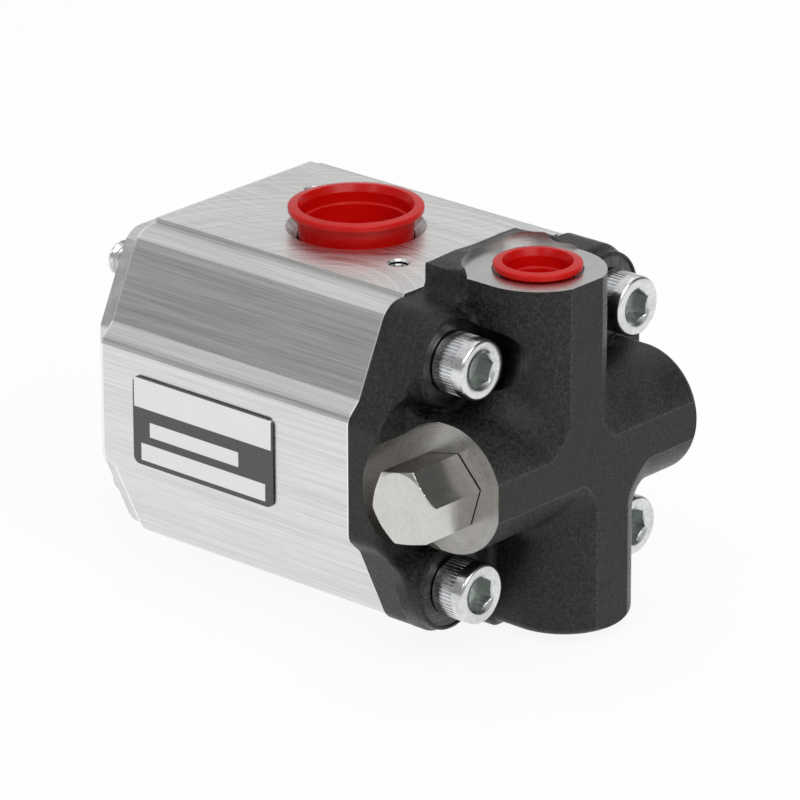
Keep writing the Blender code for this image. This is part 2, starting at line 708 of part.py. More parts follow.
def bearing_blocks(materials):
    """One block at each side of the gears, with relief slots, bush bores and a seal groove."""
    metal = materials["pale"]
    outline = figure_eight(TIP_RADIUS)
    rear_start = SEAT_GAP
    front_start = BODY_LENGTH - SEAT_GAP - BLOCK_LENGTH
    past = 1 * MM
    for label, start, outward in (("rear", rear_start, -1), ("front", front_start, 1)):
        end = start + BLOCK_LENGTH
        inner_face, outer_face = (end, start) if outward < 0 else (start, end)
        name = f"bearing_block_{label}"
        piece = prism(name, outline, "Y", start, end, metal)
        for x in (-GEAR_OFFSET, GEAR_OFFSET):
            bore = rod("bush_bore", BLOCK_BORE_RADIUS, "Y", start - past, end + past, metal, (x, 0, 0))
            cut(piece, bore)
        depth = AXIAL_SEAL_HEIGHT + SEAT_GAP
        low, high = sorted((outer_face + outward * past, outer_face - outward * depth))
        cut(piece, three_shaped_band("axial_seal_groove", low, high, SEAT_GAP, metal))
        for side in (-1, 1):
            near = side * RELIEF_SLOT_LENGTH / 6
            far = side * (RELIEF_SLOT_LENGTH + RELIEF_SLOT_LENGTH / 6)
            low, high = sorted((inner_face - outward * past, inner_face + outward * RELIEF_SLOT_DEPTH))
            z_low, z_high = sorted((near, far))
            half = RELIEF_SLOT_WIDTH / 2
            cut(piece, block("relief_slot", (-half, low, z_low), (half, high, z_high), metal))


def three_shaped_band(name, start, end, grow, material):
    """Seal shaped like a 3 on its side, round the pressure half of both journals."""
    steps = 10
    first = pi - AXIAL_SEAL_LIFT
    last = 2 * pi - AXIAL_SEAL_MEETING
    path = []
    for i in range(steps + 1):
        angle = first + (last - first) * i / steps
        x = -GEAR_OFFSET + AXIAL_SEAL_RADIUS * cos(angle)
        path.append((x, AXIAL_SEAL_RADIUS * sin(angle)))
    mirrored = [(-x, z) for x, z in reversed(path)]
    middle = (0, path[-1][1] / 2)
    outline = ribbon_outline(path + [middle] + mirrored, AXIAL_SEAL_WIDTH / 2 + grow)
    return prism(name, outline, "Y", start, end, material)


def ribbon_outline(path, half_width):
    """Outline of a band of constant width along a path of points."""
    left = []
    right = []
    for i, here in enumerate(path):
        before = path[max(i - 1, 0)]
        after = path[min(i + 1, len(path) - 1)]
        run = unit(before, after)
        left.append((here[0] - run[1] * half_width, here[1] + run[0] * half_width))
        right.append((here[0] + run[1] * half_width, here[1] - run[0] * half_width))
    return left + right[::-1]


def axial_seals(materials):
    rubber = materials["rubber"]
    rear = SEAT_GAP
    front = BODY_LENGTH - SEAT_GAP
    three_shaped_band("axial_seal_rear", rear, rear + AXIAL_SEAL_HEIGHT, 0, rubber)
    three_shaped_band("axial_seal_front", front - AXIAL_SEAL_HEIGHT, front, 0, rubber)


def bushes(materials):
    """Plain bearings pressed into the blocks, just below the faces beside the gears."""
    rear_end = SEAT_GAP + BLOCK_LENGTH - BUSH_RECESS
    front_start = BODY_LENGTH - SEAT_GAP - BLOCK_LENGTH + BUSH_RECESS
    for label, start in (("rear", rear_end - BUSH_LENGTH), ("front", front_start)):
        end = start + BUSH_LENGTH
        profile = [
            (BUSH_INNER_RADIUS, start),
            (BUSH_OUTER_RADIUS, start),
            (BUSH_OUTER_RADIUS, end),
            (BUSH_INNER_RADIUS, end),
        ]
        for shaft, x in (("drive", GEAR_OFFSET), ("driven", -GEAR_OFFSET)):
            turned(f"bush_{label}_{shaft}", profile, "Y", materials["bronze"], (x, 0, 0))


def front_cover(materials):
    """Thin mounting cover with the pilot, which also houses the shaft seal."""
    metal = materials["pale"]
    past = 1 * MM
    outline = front_cover_outline()
    cover = prism("front_cover", outline, "Y", FRONT_PLATE_BACK_Y, FRONT_PLATE_FACE_Y, metal)
    pilot_profile = [
        (0, FRONT_PLATE_BACK_Y + past),
        (PILOT_RADIUS, FRONT_PLATE_BACK_Y + past),
        (PILOT_RADIUS, PILOT_FACE_Y - PILOT_CHAMFER),
        (PILOT_RADIUS - PILOT_CHAMFER, PILOT_FACE_Y),
        (0, PILOT_FACE_Y),
    ]
    place = (GEAR_OFFSET, 0, 0)
    join(cover, turned("pilot", pilot_profile, "Y", metal, place, FINE))
    seal_bore = SHAFT_SEAL_RADIUS + SEAT_GAP
    groove_low = circlip_start() - SEAT_GAP
    groove_high = circlip_start() + CIRCLIP_THICKNESS + SEAT_GAP
    groove = seal_bore + CIRCLIP_DEPTH
    bore_profile = [
        (0, FRONT_PLATE_BACK_Y - past),
        (JOURNAL_RADIUS + 2 * SEAT_GAP, FRONT_PLATE_BACK_Y - past),
        (JOURNAL_RADIUS + 2 * SEAT_GAP, SEAL_RECESS_Y),
        (seal_bore, SEAL_RECESS_Y),
        (seal_bore, groove_low),
        (groove, groove_low),
        (groove, groove_high),
        (seal_bore, groove_high),
        (seal_bore, PILOT_FACE_Y + past),
        (0, PILOT_FACE_Y + past),
    ]
    cut(cover, turned("seal_recess", bore_profile, "Y", metal, place, MEDIUM))
    cut(cover, *bolt_holes(FRONT_PLATE_BACK_Y - past, PILOT_FACE_Y + past, metal, "front"))
    depth = FRONT_PLATE_BACK_Y + DOWEL_DEPTH_IN_COVER
    cut(cover, *dowel_holes(FRONT_PLATE_BACK_Y - past, depth, metal, "front_dowel_hole"))
    return cover


def front_cover_outline():
    """The body's profile a little smaller, with straight chamfers and no bulge at the sides."""
    top = BODY_HALF_HEIGHT - FRONT_PLATE_INSET
    half = BODY_HALF_WIDTH - FRONT_PLATE_SIDE_INSET
    slope = (BODY_HALF_HEIGHT - KINK_Z) / (KINK_X - SHOULDER_CORNER_X)
    kink = KINK_X - FRONT_PLATE_INSET
    shoulder = kink - (top - KINK_Z) / slope
    side = KINK_Z - (half - kink) * slope
    right = [(shoulder, top, SHOULDER_RADIUS), (half, side, SIDE_CORNER_RADIUS)]
    lower = [(x, -z, r) for x, z, r in reversed(right)]
    left_lower = [(-x, -z, r) for x, z, r in right]
    left = [(-x, z, r) for x, z, r in reversed(right)]
    return rounded_outline(right + lower + left_lower + left)


def circlip_start():
    return SEAL_RECESS_Y + SEAT_GAP + SHAFT_SEAL_WIDTH + SEAT_GAP


def shaft_seal(materials):
    """Lip seal round the drive shaft, and the open circlip that keeps it in its recess."""
    start = SEAL_RECESS_Y + SEAT_GAP
    end = start + SHAFT_SEAL_WIDTH
    lip = JOURNAL_RADIUS + RUNNING_GAP
    collar = lip + 2 * SHAFT_SEAL_WALL
    inner = SHAFT_SEAL_RADIUS - 2 * SHAFT_SEAL_WALL
    web = start + 3 * SHAFT_SEAL_WALL
    profile = [
        (SHAFT_SEAL_RADIUS, start),
        (SHAFT_SEAL_RADIUS, end),
        (collar, end),
        (lip, end - SHAFT_SEAL_WALL),
        (lip, start + SHAFT_SEAL_WALL),
        (collar, start),
        (collar, web),
        (inner, web),
        (inner, start),
    ]
    turned("shaft_seal", profile, "Y", materials["rubber"], (GEAR_OFFSET, 0, 0))
    outer = SHAFT_SEAL_RADIUS + CIRCLIP_DEPTH
    middle = outer - CIRCLIP_WIDTH / 2
    sweep = 2 * pi - CIRCLIP_OPENING
    first = pi / 2 + CIRCLIP_OPENING / 2
    path = []
    for i in range(MEDIUM + 1):
        angle = first + sweep * i / MEDIUM
        path.append((middle * cos(angle), middle * sin(angle)))
    outline = ribbon_outline(path, CIRCLIP_WIDTH / 2)
    start = circlip_start()
    end = start + CIRCLIP_THICKNESS
    prism("seal_circlip", outline, "Y", start, end, materials["steel"], (GEAR_OFFSET, 0, 0))


def rear_cover(materials):
    """Cast valve cover: plate with ears, pads, crossing bosses, machined faces and bores."""
    iron = materials["iron"]
    plate = [
        (PLATE_REAR_Y, plate_outline(UPPER_EAR_AT_REAR, EAR_ROOT_RADIUS)),
        (PLATE_FRONT_Y, plate_outline(UPPER_EAR_AT_JOINT, EAR_ROOT_RADIUS / 4)),
    ]
    cover = loft("rear_cover", "Y", plate, iron)
    cut(cover, plate_waist(iron), lower_ear_slope(iron))
    join(cover, *bolt_pads(iron), *bosses(iron), *web_fillets(iron))
    cut(cover, *machined_faces(iron), *cover_bores(iron))
    return cover


def plate_outline(upper_ear, upper_root_radius):
    """The body's profile a little larger, with an ear above and one below, side by side."""
    slope = (BODY_HALF_HEIGHT - KINK_Z) / (KINK_X - SHOULDER_CORNER_X)
    half = BODY_HALF_WIDTH + PLATE_OVERHANG
    kink = (KINK_X + PLATE_OVERHANG, KINK_Z)
    side = (half, kink[1] - (half - kink[0]))
    crest = [(x * MM, z * MM, r * MM) for x, z, r in upper_ear]
    corners = []
    for sx, sz in ((1, 1), (1, -1), (-1, -1), (-1, 1)):
        top = BODY_HALF_HEIGHT + (PLATE_TOP_RISE if sz > 0 else PLATE_OVERHANG)
        shoulder = (kink[0] - (top - KINK_Z) / slope, top)
        run = [(*shoulder, SHOULDER_RADIUS), (*kink, KINK_RADIUS), (*side, SIDE_CORNER_RADIUS)]
        run = [(sx * x, sz * z, r) for x, z, r in run]
        if sz > 0:
            root = (crest[-1 if sx > 0 else 0][0], top, upper_root_radius)
            ear = [*crest[2:], root] if sx > 0 else [*crest[1::-1], root]
        else:
            ear_side = LOWER_BOSS_X + sx * EAR_HALF_WIDTH
            ear = [(ear_side, LOWER_EAR_BOTTOM_Z, EAR_CORNER_RADIUS), (ear_side, -top, EAR_ROOT_RADIUS)]
        corners += ear + run if sx * sz > 0 else reversed(ear + run)
    return rounded_outline(corners)


def plate_waist(iron):
    """The plate is thinner in a band between the upper and the lower bolts."""
    over = 2 * MM
    floor = PLATE_FRONT_Y - PLATE_WAIST_THICKNESS
    top = PLATE_REAR_Y - over
    narrow = PLATE_WAIST_HALF_HEIGHT
    wide = narrow + PLATE_WAIST_RUNOUT * (floor - top) / (PLATE_THICKNESS - PLATE_WAIST_THICKNESS)
    section = [(floor, -narrow), (floor, narrow), (top, wide), (top, -wide)]
    half = BODY_HALF_WIDTH + over
    return prism("plate_waist", section, "X", -half, half, iron)


def lower_ear_slope(iron):
    """The lower ear slopes down towards the joint face."""
    over = 2 * MM
    half = EAR_HALF_WIDTH + over
    run = LOWER_EAR_SLOPE_LENGTH / LOWER_EAR_SLOPE_RISE
    crest = LOWER_EAR_BOTTOM_Z
    section = [
        (PLATE_FRONT_Y + over * run, crest + LOWER_EAR_SLOPE_RISE + over),
        (PLATE_FRONT_Y + over * run, crest - over),
        (PLATE_FRONT_Y - LOWER_EAR_SLOPE_LENGTH - over * run, crest - over),
    ]
    return prism("lower_slope", section, "X", LOWER_BOSS_X - half, LOWER_BOSS_X + half, iron)


def bolt_pads(iron):
    """A drafted round pad under each bolt head."""
    root = PLATE_REAR_Y + PLATE_THICKNESS / 4
    pads = []
    for i, (x, z) in enumerate(BOLT_PLACES):
        profile = [
            (0, root),
            (PAD_RADIUS, root),
            (PAD_RADIUS, PLATE_REAR_Y),
            (PAD_RADIUS - PAD_DRAFT / 2, PAD_REAR_Y + PAD_DRAFT),
            (PAD_RADIUS - PAD_DRAFT, PAD_REAR_Y),
            (0, PAD_REAR_Y),
        ]
        pads.append(turned(f"bolt_pad_{i + 1}", profile, "Y", iron, (x, 0, z), MEDIUM))
    return pads


def bosses(iron):
    """Outlet boss, lower boss and cross boss, all with their axes in one upright plane.

    The cross boss and the lower boss end in a cast round, the other ends are machined.
    """
    root = PLATE_REAR_Y + PLATE_THICKNESS / 3
    inside = CROSS_BOSS_RADIUS / 4
    half = CROSS_BOSS_HALF_LENGTH
    raw_top = OUTLET_FACE_Z + MACHINING_ALLOWANCE
    upper_root = PLATE_REAR_Y + PLATE_THICKNESS / 12
    section = half_round(BOSS_RADIUS, OUTLET_BOSS_X, BOSS_AXIS_Y, upper_root)
    upper = prism("outlet_boss", section, "Z", -inside, raw_top, iron)
    lower_rings = [(inside, half_round(BOSS_RADIUS, LOWER_BOSS_X, BOSS_AXIS_Y, root))]
    cross_rings = [(-half - MACHINING_ALLOWANCE, cross_section(0, root))]
    for back, drop in end_round_steps():
        section = half_round(BOSS_RADIUS - drop, LOWER_BOSS_X, BOSS_AXIS_Y, root)
        lower_rings.append((LOWER_BOSS_BOTTOM_Z + back, section))
        cross_rings.append((half - back, cross_section(drop, root)))
    lower = loft("lower_boss", "Z", lower_rings, iron)
    cross = loft("cross_boss", "X", cross_rings, iron)
    return [upper, lower, cross]


def cross_section(drop, root):
    return [(y, z) for z, y in half_round(CROSS_BOSS_RADIUS - drop, 0, BOSS_AXIS_Y, root)]


def end_round_steps(steps=2):
    """Distances from the end of a boss, and how much its radius has shrunk there."""
    places = []
    for i in range(steps + 1):
        angle = pi / 2 * i / steps
        places.append((BOSS_END_ROUND * (1 - sin(angle)), BOSS_END_ROUND * (1 - cos(angle))))
    return places


def web_fillets(iron):
    """Fillets that follow the corners between the upright bosses and the cross boss."""
    root = PLATE_REAR_Y + PLATE_THICKNESS / 5
    sink = 0.1 * MM
    facets = 12
    rows = 5
    pieces = []
    for label, boss_x, sx, sz in (
        ("upper_left", OUTLET_BOSS_X, -1, 1),
        ("upper_right", OUTLET_BOSS_X, 1, 1),
        ("lower_left", LOWER_BOSS_X, -1, -1),
        ("lower_right", LOWER_BOSS_X, 1, -1),
    ):
        rings = [(root, fillet_section(boss_x, sx, sz, 0, sink))]
        for i in range(rows):
            behind = CROSS_BOSS_RADIUS * sin(pi * i / facets)
            rings.append((BOSS_AXIS_Y - behind, fillet_section(boss_x, sx, sz, behind, sink)))
        rings.append((FRONT_FLAT_Y - sink, fillet_section(boss_x, sx, sz, -1, sink)))
        pieces.append(loft(f"web_fillet_{label}", "Y", rings, iron))
    return pieces


def fillet_section(boss_x, sx, sz, behind, sink):
    """Section of a fillet at a depth behind the bosses' axes (-1 for the front flat)."""
    depth = FRONT_FLAT_DEPTH + sink if behind < 0 else behind
    share = min(depth / FRONT_FLAT_DEPTH, 1.0)
    radius = WEB_FILLET_RADIUS + (WEB_FILLET_END_RADIUS - WEB_FILLET_RADIUS) * share
    corner_x = sqrt(BOSS_RADIUS**2 - depth**2) - sink
    corner_z = sqrt(CROSS_BOSS_RADIUS**2 - depth**2) - sink
    inside = 3 * MM
    steps = 3
    points = [(corner_x - inside, corner_z - inside), (corner_x - inside, corner_z + radius)]
    for i in range(steps + 1):
        angle = pi / 2 * i / steps
        points.append((corner_x + radius * (1 - cos(angle)), corner_z + radius * (1 - sin(angle))))
    points.append((corner_x + radius, corner_z - inside))
    return [(boss_x + sx * x, sz * z) for x, z in points]


def machined_faces(iron):
    """The flat across all bosses, the milled outlet face and the spot faces.

    The one round the valve plug is milled from the side, so it hollows the plate's flank too.
    """
    far = 80 * MM
    clear = 12 * MM
    flat = block("front_flat", (-far, FRONT_FLAT_Y - clear, -far), (far, FRONT_FLAT_Y, far), iron)
    mill = []
    for x, y in half_round(FACE_MILL_RADIUS, OUTLET_BOSS_X - FACE_MILL_OFFSET, BOSS_AXIS_Y, far):
        mill.append((x, 2 * BOSS_AXIS_Y - y))
    milled = prism("outlet_face", mill, "Z", OUTLET_FACE_Z, OUTLET_FACE_Z + clear, iron)
    plug_spot = rod(
        "plug_spot_face", PLUG_SPOT_FACE_RADIUS, "X", -far, PLUG_SEAT_X, iron, (0, BOSS_AXIS_Y, 0), FINE
    )
    cutters = [flat, milled, plug_spot]
    for i, (x, z) in enumerate(BOLT_PLACES):
        name = f"spot_face_{i + 1}"
        start = FRONT_FLAT_Y - clear
        spot = rod(name, SPOT_FACE_RADIUS, "Y", start, HEAD_SEAT_Y, iron, (x, 0, z), SPOT_FACETS)
        cutters.append(spot)
    return cutters


def cover_bores(iron):
    """Outlet port, valve bore, passages, and the holes for the bolts and dowels."""
    past = 1 * MM
    outlet_profile = [
        (0, OUTLET_FACE_Z + past),
        (OUTLET_BORE_RADIUS + OUTLET_CHAMFER + past, OUTLET_FACE_Z + past),
        (OUTLET_BORE_RADIUS, OUTLET_FACE_Z - OUTLET_CHAMFER),
        (OUTLET_BORE_RADIUS, OUTLET_FACE_Z - OUTLET_BORE_DEPTH),
        (OUTLET_PASSAGE_RADIUS, OUTLET_FACE_Z - OUTLET_BORE_DEPTH - past),
        (OUTLET_PASSAGE_RADIUS, 0),
        (0, 0),
    ]
    outlet = turned("outlet_port", outlet_profile, "Z", iron, (OUTLET_BOSS_X, BOSS_AXIS_Y, 0))
    valve_profile = [
        (0, PLUG_SEAT_X - past),
        (PLUG_THREAD_RADIUS + PLUG_SEAT_CHAMFER + past, PLUG_SEAT_X - past),
        (PLUG_THREAD_RADIUS, PLUG_SEAT_X + PLUG_SEAT_CHAMFER),
        (PLUG_THREAD_RADIUS, PLUG_SEAT_X + PLUG_THREAD_DEPTH),
        (VALVE_BORE_RADIUS, PLUG_SEAT_X + PLUG_THREAD_DEPTH),
        (VALVE_BORE_RADIUS, VALVE_BORE_END_X),
        (0, VALVE_BORE_END_X),
    ]
    valve = turned("valve_bore", valve_profile, "X", iron, (0, BOSS_AXIS_Y, 0))
    core_place = (LOWER_BOSS_X, BOSS_AXIS_Y, 0)
    core_end = PASSAGE_Z - PASSAGE_RADIUS - CORE_OVERRUN
    core = rod("pressure_core", CORE_RADIUS, "Z", core_end, 0, iron, core_place)
    inflow_place = (0, 0, PASSAGE_Z)
    inflow_end = BOSS_AXIS_Y - INFLOW_OVERRUN
    inflow = rod("pressure_inflow", PASSAGE_RADIUS, "Y", inflow_end, past, iron, inflow_place)
    bores = [outlet, valve, core, inflow]
    bores += bolt_holes(PAD_REAR_Y - past, PLATE_FRONT_Y + past, iron, "cover")
    depth = PLATE_FRONT_Y - DOWEL_DEPTH_IN_COVER
    bores += dowel_holes(depth, PLATE_FRONT_Y + past, iron, "cover_dowel_hole")
    return bores


def cap_screws(materials):
    """Four M10 socket head cap screws that clamp both covers to the body."""
    zinc = materials["zinc"]
    underside = HEAD_SEAT_Y - SEAT_GAP
    face = underside - HEAD_HEIGHT
    tip = underside + BOLT_LENGTH
    profile = [
        (0, face),
        (HEAD_RADIUS - HEAD_CHAMFER, face),
        (HEAD_RADIUS, face + HEAD_CHAMFER),
        (HEAD_RADIUS, underside),
        (BOLT_RADIUS, underside),
        (BOLT_RADIUS, tip - BOLT_TIP_CHAMFER),
        (BOLT_RADIUS - BOLT_TIP_CHAMFER, tip),
        (0, tip),
    ]
    corner = SOCKET_ACROSS_FLATS / 2 / cos(pi / 6)
    over = 1 * MM
    for i, (x, z) in enumerate(BOLT_PLACES):
        place = (x, 0, z)
        screw = turned(f"cap_screw_{i + 1}", profile, "Y", zinc, place, SCREW_FACETS)
        hexagon = circle_outline(corner, facets=6, turn=radians(8.0 + 11.0 * i))
        floor = face + SOCKET_DEPTH
        cut(screw, prism(f"hex_socket_{i + 1}", hexagon, "Y", face - over, floor, zinc, place))


def port_cap(name, place, face_z, rim_radius, top_rise, skirt_radius, skirt_depth, red):
    """Push-in cap: rolled rim, a tapered skirt and a closed floor, open at the top."""
    top = top_rise
    rim_low = top - CAP_RIM_HEIGHT
    bottom = -skirt_depth
    edge = CAP_WALL / 3
    foot = skirt_radius - CAP_TAPER
    ledge_z = top - CAP_LEDGE_DEPTH
    profile = [
        (0, bottom),
        (foot - edge, bottom),
        (foot, bottom + edge),
        (skirt_radius, min(0.0, rim_low)),
        (skirt_radius, rim_low),
        (rim_radius - edge, rim_low),
        (rim_radius, rim_low + edge),
        (rim_radius, top - edge),
        (rim_radius - edge, top),
        (skirt_radius - CAP_WALL / 4, top),
        (skirt_radius - CAP_WALL, top - CAP_RIM_HEIGHT),
        (skirt_radius - CAP_WALL - edge, ledge_z),
        (skirt_radius - CAP_WALL - CAP_LEDGE_WIDTH, ledge_z - edge),
        (foot - CAP_WALL - CAP_LEDGE_WIDTH, bottom + CAP_WALL),
        (0, bottom + CAP_WALL),
    ]
    return turned(name, profile, "Z", red, (place[0], place[1], face_z), CAP_FACETS)


def port_caps(materials):
    red = materials["red"]
    inlet_skirt = INLET_BORE_RADIUS - SEAT_GAP
    outlet_skirt = OUTLET_BORE_RADIUS - SEAT_GAP
    inlet_place = (0, BODY_MIDDLE_Y)
    outlet_place = (OUTLET_BOSS_X, BOSS_AXIS_Y)
    port_cap("inlet_cap", inlet_place, LAND_TOP_Z, INLET_CAP_RIM_RADIUS,
             INLET_CAP_TOP_RISE, inlet_skirt, INLET_CAP_SKIRT_DEPTH, red)
    port_cap("outlet_cap", outlet_place, OUTLET_FACE_Z, OUTLET_CAP_RIM_RADIUS,
             OUTLET_CAP_TOP_RISE, outlet_skirt, OUTLET_CAP_SKIRT_DEPTH, red)


def valve_plug(materials):
    """Hexagon plug with a hollow threaded spigot, and the ring that seals it."""
    zinc = materials["zinc"]
    place = (0, BOSS_AXIS_Y, 0)
    corner = PLUG_ACROSS_FLATS / 2 / cos(pi / 6)
    hexagon = circle_outline(corner, facets=6, turn=PLUG_HEX_TURN)
    plug = prism("valve_plug", hexagon, "X", PLUG_FACE_X, PLUG_BACK_X, zinc, place)
    over = 3 * MM
    face_radius = PLUG_ACROSS_FLATS / 2
    spread = over * (corner - face_radius) / PLUG_FACE_CHAMFER
    collar = [
        (face_radius, PLUG_FACE_X),
        (corner + spread, PLUG_FACE_X + PLUG_FACE_CHAMFER + over),
        (corner + spread, PLUG_FACE_X - over),
        (face_radius, PLUG_FACE_X - over),
    ]
    spigot = PLUG_THREAD_RADIUS - SEAT_GAP
    relief = spigot - 2 * PLUG_SEAL_SECTION - SEAT_GAP
    relief_end = PLUG_SEAT_X + 2 * PLUG_SEAL_SECTION + 2 * SEAT_GAP
    spigot_profile = [
        (0, PLUG_BACK_X - over),
        (relief, PLUG_BACK_X - over),
        (relief, relief_end),
        (spigot, relief_end),
        (spigot, PLUG_SPIGOT_END_X),
        (0, PLUG_SPIGOT_END_X),
    ]
    bore = rod("plug_bore", PLUG_BORE_RADIUS, "X", PLUG_BORE_FLOOR_X, PLUG_SPIGOT_END_X + over,
               zinc, place, COARSE)
    cut(plug, turned("plug_chamfer", collar, "X", zinc, place, FINE))
    join(plug, turned("plug_spigot", spigot_profile, "X", zinc, place))
    cut(plug, bore)
    ring_radius = relief + SEAT_GAP + PLUG_SEAL_SECTION
    ring_middle = PLUG_SEAT_X + SEAT_GAP + PLUG_SEAL_SECTION
    section = circle_outline(PLUG_SEAL_SECTION, (ring_radius, ring_middle), 8)
    turned("plug_seal", section, "X", materials["rubber"], place)


def spool(materials):
    """Valve spool: three lands with balance grooves between two waists."""
    lands = 3
    length = SPOOL_RIGHT_X - SPOOL_LEFT_X
    land_length = (length - 2 * SPOOL_WAIST_LENGTH) / lands
    groove = SPOOL_RADIUS - SPOOL_GROOVE_DEPTH
    groove_half = 0.4 * MM
    profile = [(0, SPOOL_LEFT_X)]
    along = SPOOL_LEFT_X
    for land in range(lands):
        middle = along + land_length / 2
        profile.append((SPOOL_RADIUS, along))
        profile.append((SPOOL_RADIUS, middle - groove_half))
        profile.append((groove, middle - groove_half))
        profile.append((groove, middle + groove_half))
        profile.append((SPOOL_RADIUS, middle + groove_half))
        profile.append((SPOOL_RADIUS, along + land_length))
        along += land_length
        if land < lands - 1:
            profile.append((SPOOL_WAIST_RADIUS, along))
            profile.append((SPOOL_WAIST_RADIUS, along + SPOOL_WAIST_LENGTH))
            along += SPOOL_WAIST_LENGTH
    profile.append((0, SPOOL_RIGHT_X))
    turned("valve_spool", profile, "X", materials["steel"], (0, BOSS_AXIS_Y, 0), COARSE)


def spool_spring(materials):
    """Coil spring from the floor of the plug's bore to the spool."""
    start = PLUG_BORE_FLOOR_X + SEAT_GAP + SPRING_WIRE_RADIUS
    end = SPOOL_LEFT_X - SEAT_GAP - SPRING_WIRE_RADIUS
    points_per_turn = 10
    count = SPRING_TURNS * points_per_turn
    curve = bpy.data.curves.new("spool_spring", "CURVE")
    curve.dimensions = "3D"
    curve.bevel_depth = SPRING_WIRE_RADIUS
    curve.bevel_resolution = 1
    curve.use_fill_caps = True
    spline = curve.splines.new("POLY")
    spline.points.add(count)
    for i in range(count + 1):
        angle = 2 * pi * i / points_per_turn
        x = start + (end - start) * i / count
        point = (x, SPRING_RADIUS * cos(angle), SPRING_RADIUS * sin(angle), 1.0)
        spline.points[i].co = point
    curve.materials.append(materials["steel"])
    spring = bpy.data.objects.new("spool_spring", curve)
    bpy.context.scene.collection.objects.link(spring)
    spring.parent = bpy.data.objects["pump_frame"]
    spring.location = (0, BOSS_AXIS_Y, 0)


def name_plate(materials):
    """Blank film plate with rounded corners on the flat left side."""
    half_y = NAME_PLATE_LENGTH / 2
    half_z = NAME_PLATE_HEIGHT / 2
    corners = []
    for sy, sz in ((1, 1), (-1, 1), (-1, -1), (1, -1)):
        corners.append((NAME_PLATE_Y + sy * half_y, NAME_PLATE_Z + sz * half_z, NAME_PLATE_CORNER))
    back = -(BODY_HALF_WIDTH + SEAT_GAP)
    outline = rounded_outline(corners)
    prism("name_plate", outline, "X", back - NAME_PLATE_THICKNESS, back, materials["film"])


def main():
    clear_scene()
    frame = bpy.data.objects.new("pump_frame", None)
    frame.location = (-BOX_MIDDLE_X, -BOX_MIDDLE_Y, -LOWEST_Z)
    bpy.context.scene.collection.objects.link(frame)
    materials = make_materials()
    gear_body(materials)
    rear_cover(materials)
    front_cover(materials)
    gears(materials)
    bearing_blocks(materials)
    bushes(materials)
    static_seals(materials)
    axial_seals(materials)
    shaft_seal(materials)
    dowel_pins(materials)
    cap_screws(materials)
    port_caps(materials)
    valve_plug(materials)
    spool(materials)
    spool_spring(materials)
    name_plate(materials)


main()
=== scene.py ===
import json
from math import atan2, cos, hypot, pi, radians, sin, sqrt, tan

import bmesh
import bpy
import numpy as np
from mathutils import Matrix, Vector

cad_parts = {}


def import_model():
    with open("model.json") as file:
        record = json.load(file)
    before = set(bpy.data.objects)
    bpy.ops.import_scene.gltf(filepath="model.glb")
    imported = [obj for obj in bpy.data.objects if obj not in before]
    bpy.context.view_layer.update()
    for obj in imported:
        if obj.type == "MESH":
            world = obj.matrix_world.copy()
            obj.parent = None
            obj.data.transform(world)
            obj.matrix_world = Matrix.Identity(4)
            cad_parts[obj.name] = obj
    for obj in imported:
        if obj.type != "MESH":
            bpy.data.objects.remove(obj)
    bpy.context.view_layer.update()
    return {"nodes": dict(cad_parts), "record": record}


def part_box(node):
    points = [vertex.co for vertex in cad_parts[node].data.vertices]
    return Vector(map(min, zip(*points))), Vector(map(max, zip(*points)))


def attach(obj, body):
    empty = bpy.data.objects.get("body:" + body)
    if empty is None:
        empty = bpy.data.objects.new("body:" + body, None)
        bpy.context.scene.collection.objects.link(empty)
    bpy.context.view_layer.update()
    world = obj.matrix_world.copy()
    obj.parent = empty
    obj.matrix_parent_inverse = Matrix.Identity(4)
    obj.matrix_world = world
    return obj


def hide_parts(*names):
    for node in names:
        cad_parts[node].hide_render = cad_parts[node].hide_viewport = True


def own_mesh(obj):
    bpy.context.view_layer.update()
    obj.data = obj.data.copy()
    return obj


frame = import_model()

# Shapes are made in millimetres in the pump's own axes: Y = 0 is the body's rear face,
# and the gears' axes lie at Z = 0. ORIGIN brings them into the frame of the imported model.
MM = 0.001
PER_METRE = 1000
BODY_HALF_HEIGHT = 42.4
body_low, body_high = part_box("gear_body")
ORIGIN = np.array(
    [
        (body_low.x + body_high.x) / 2 * PER_METRE,
        body_low.y * PER_METRE,
        body_low.z * PER_METRE + BODY_HALF_HEIGHT,
    ]
)

# Body
BODY_LENGTH = 85.4
BODY_HALF_WIDTH = 50.4
KINK_X = 46.2
KINK_Z = 20.2
SHOULDER_CORNER_X = 35.8
LAND_TOP_Z = 43.6
INLET_THREAD_RADII = (14.0, 15.6)
BODY_THREAD_FLOOR_Z = 22.0
BODY_THREAD_PITCH = 1.6
TAPPED_HOLE_X = 13.5
TAPPED_HOLE_RUN = 26.6
TAPPED_HOLE_RADIUS = 2.75

# Rear cover: plate, ears and bolt pads
BOLT_PLACES = [(-30.0, 30.0), (30.0, 30.0), (-30.0, -30.0), (30.0, -30.0)]
PLATE_FRONT_Y = -0.3
PLATE_REAR_Y = -13.3
PLATE_OVERHANG = 0.5
PLATE_RISE = 0.7
PLATE_EDGE_RADIUS = 1.3
SHOULDER_RADIUS = 7.0
KINK_RADIUS = 2.5
SIDE_CORNER_RADIUS = 4.0
WAIST_REAR_Y = -10.3
WAIST_HALF = 19.0
WAIST_FADE = 5.0
LOWER_EAR_HALF = 17.0
LOWER_EAR_BOTTOM_Z = -49.3
LOWER_EAR_RADIUS = 3.0
LOWER_EAR_ROOT_RADIUS = 4.0
FOOT_RISE = 1.9
FOOT_RUN = 3.6
FOOT_EDGE_RADIUS = 0.8
CREST_TOP_Z = 52.7
PAD_RADIUS = 12.3
PAD_DRAFT = 0.13
PAD_ROOT_Y = -9.0
PAD_REAR_Y = -16.5
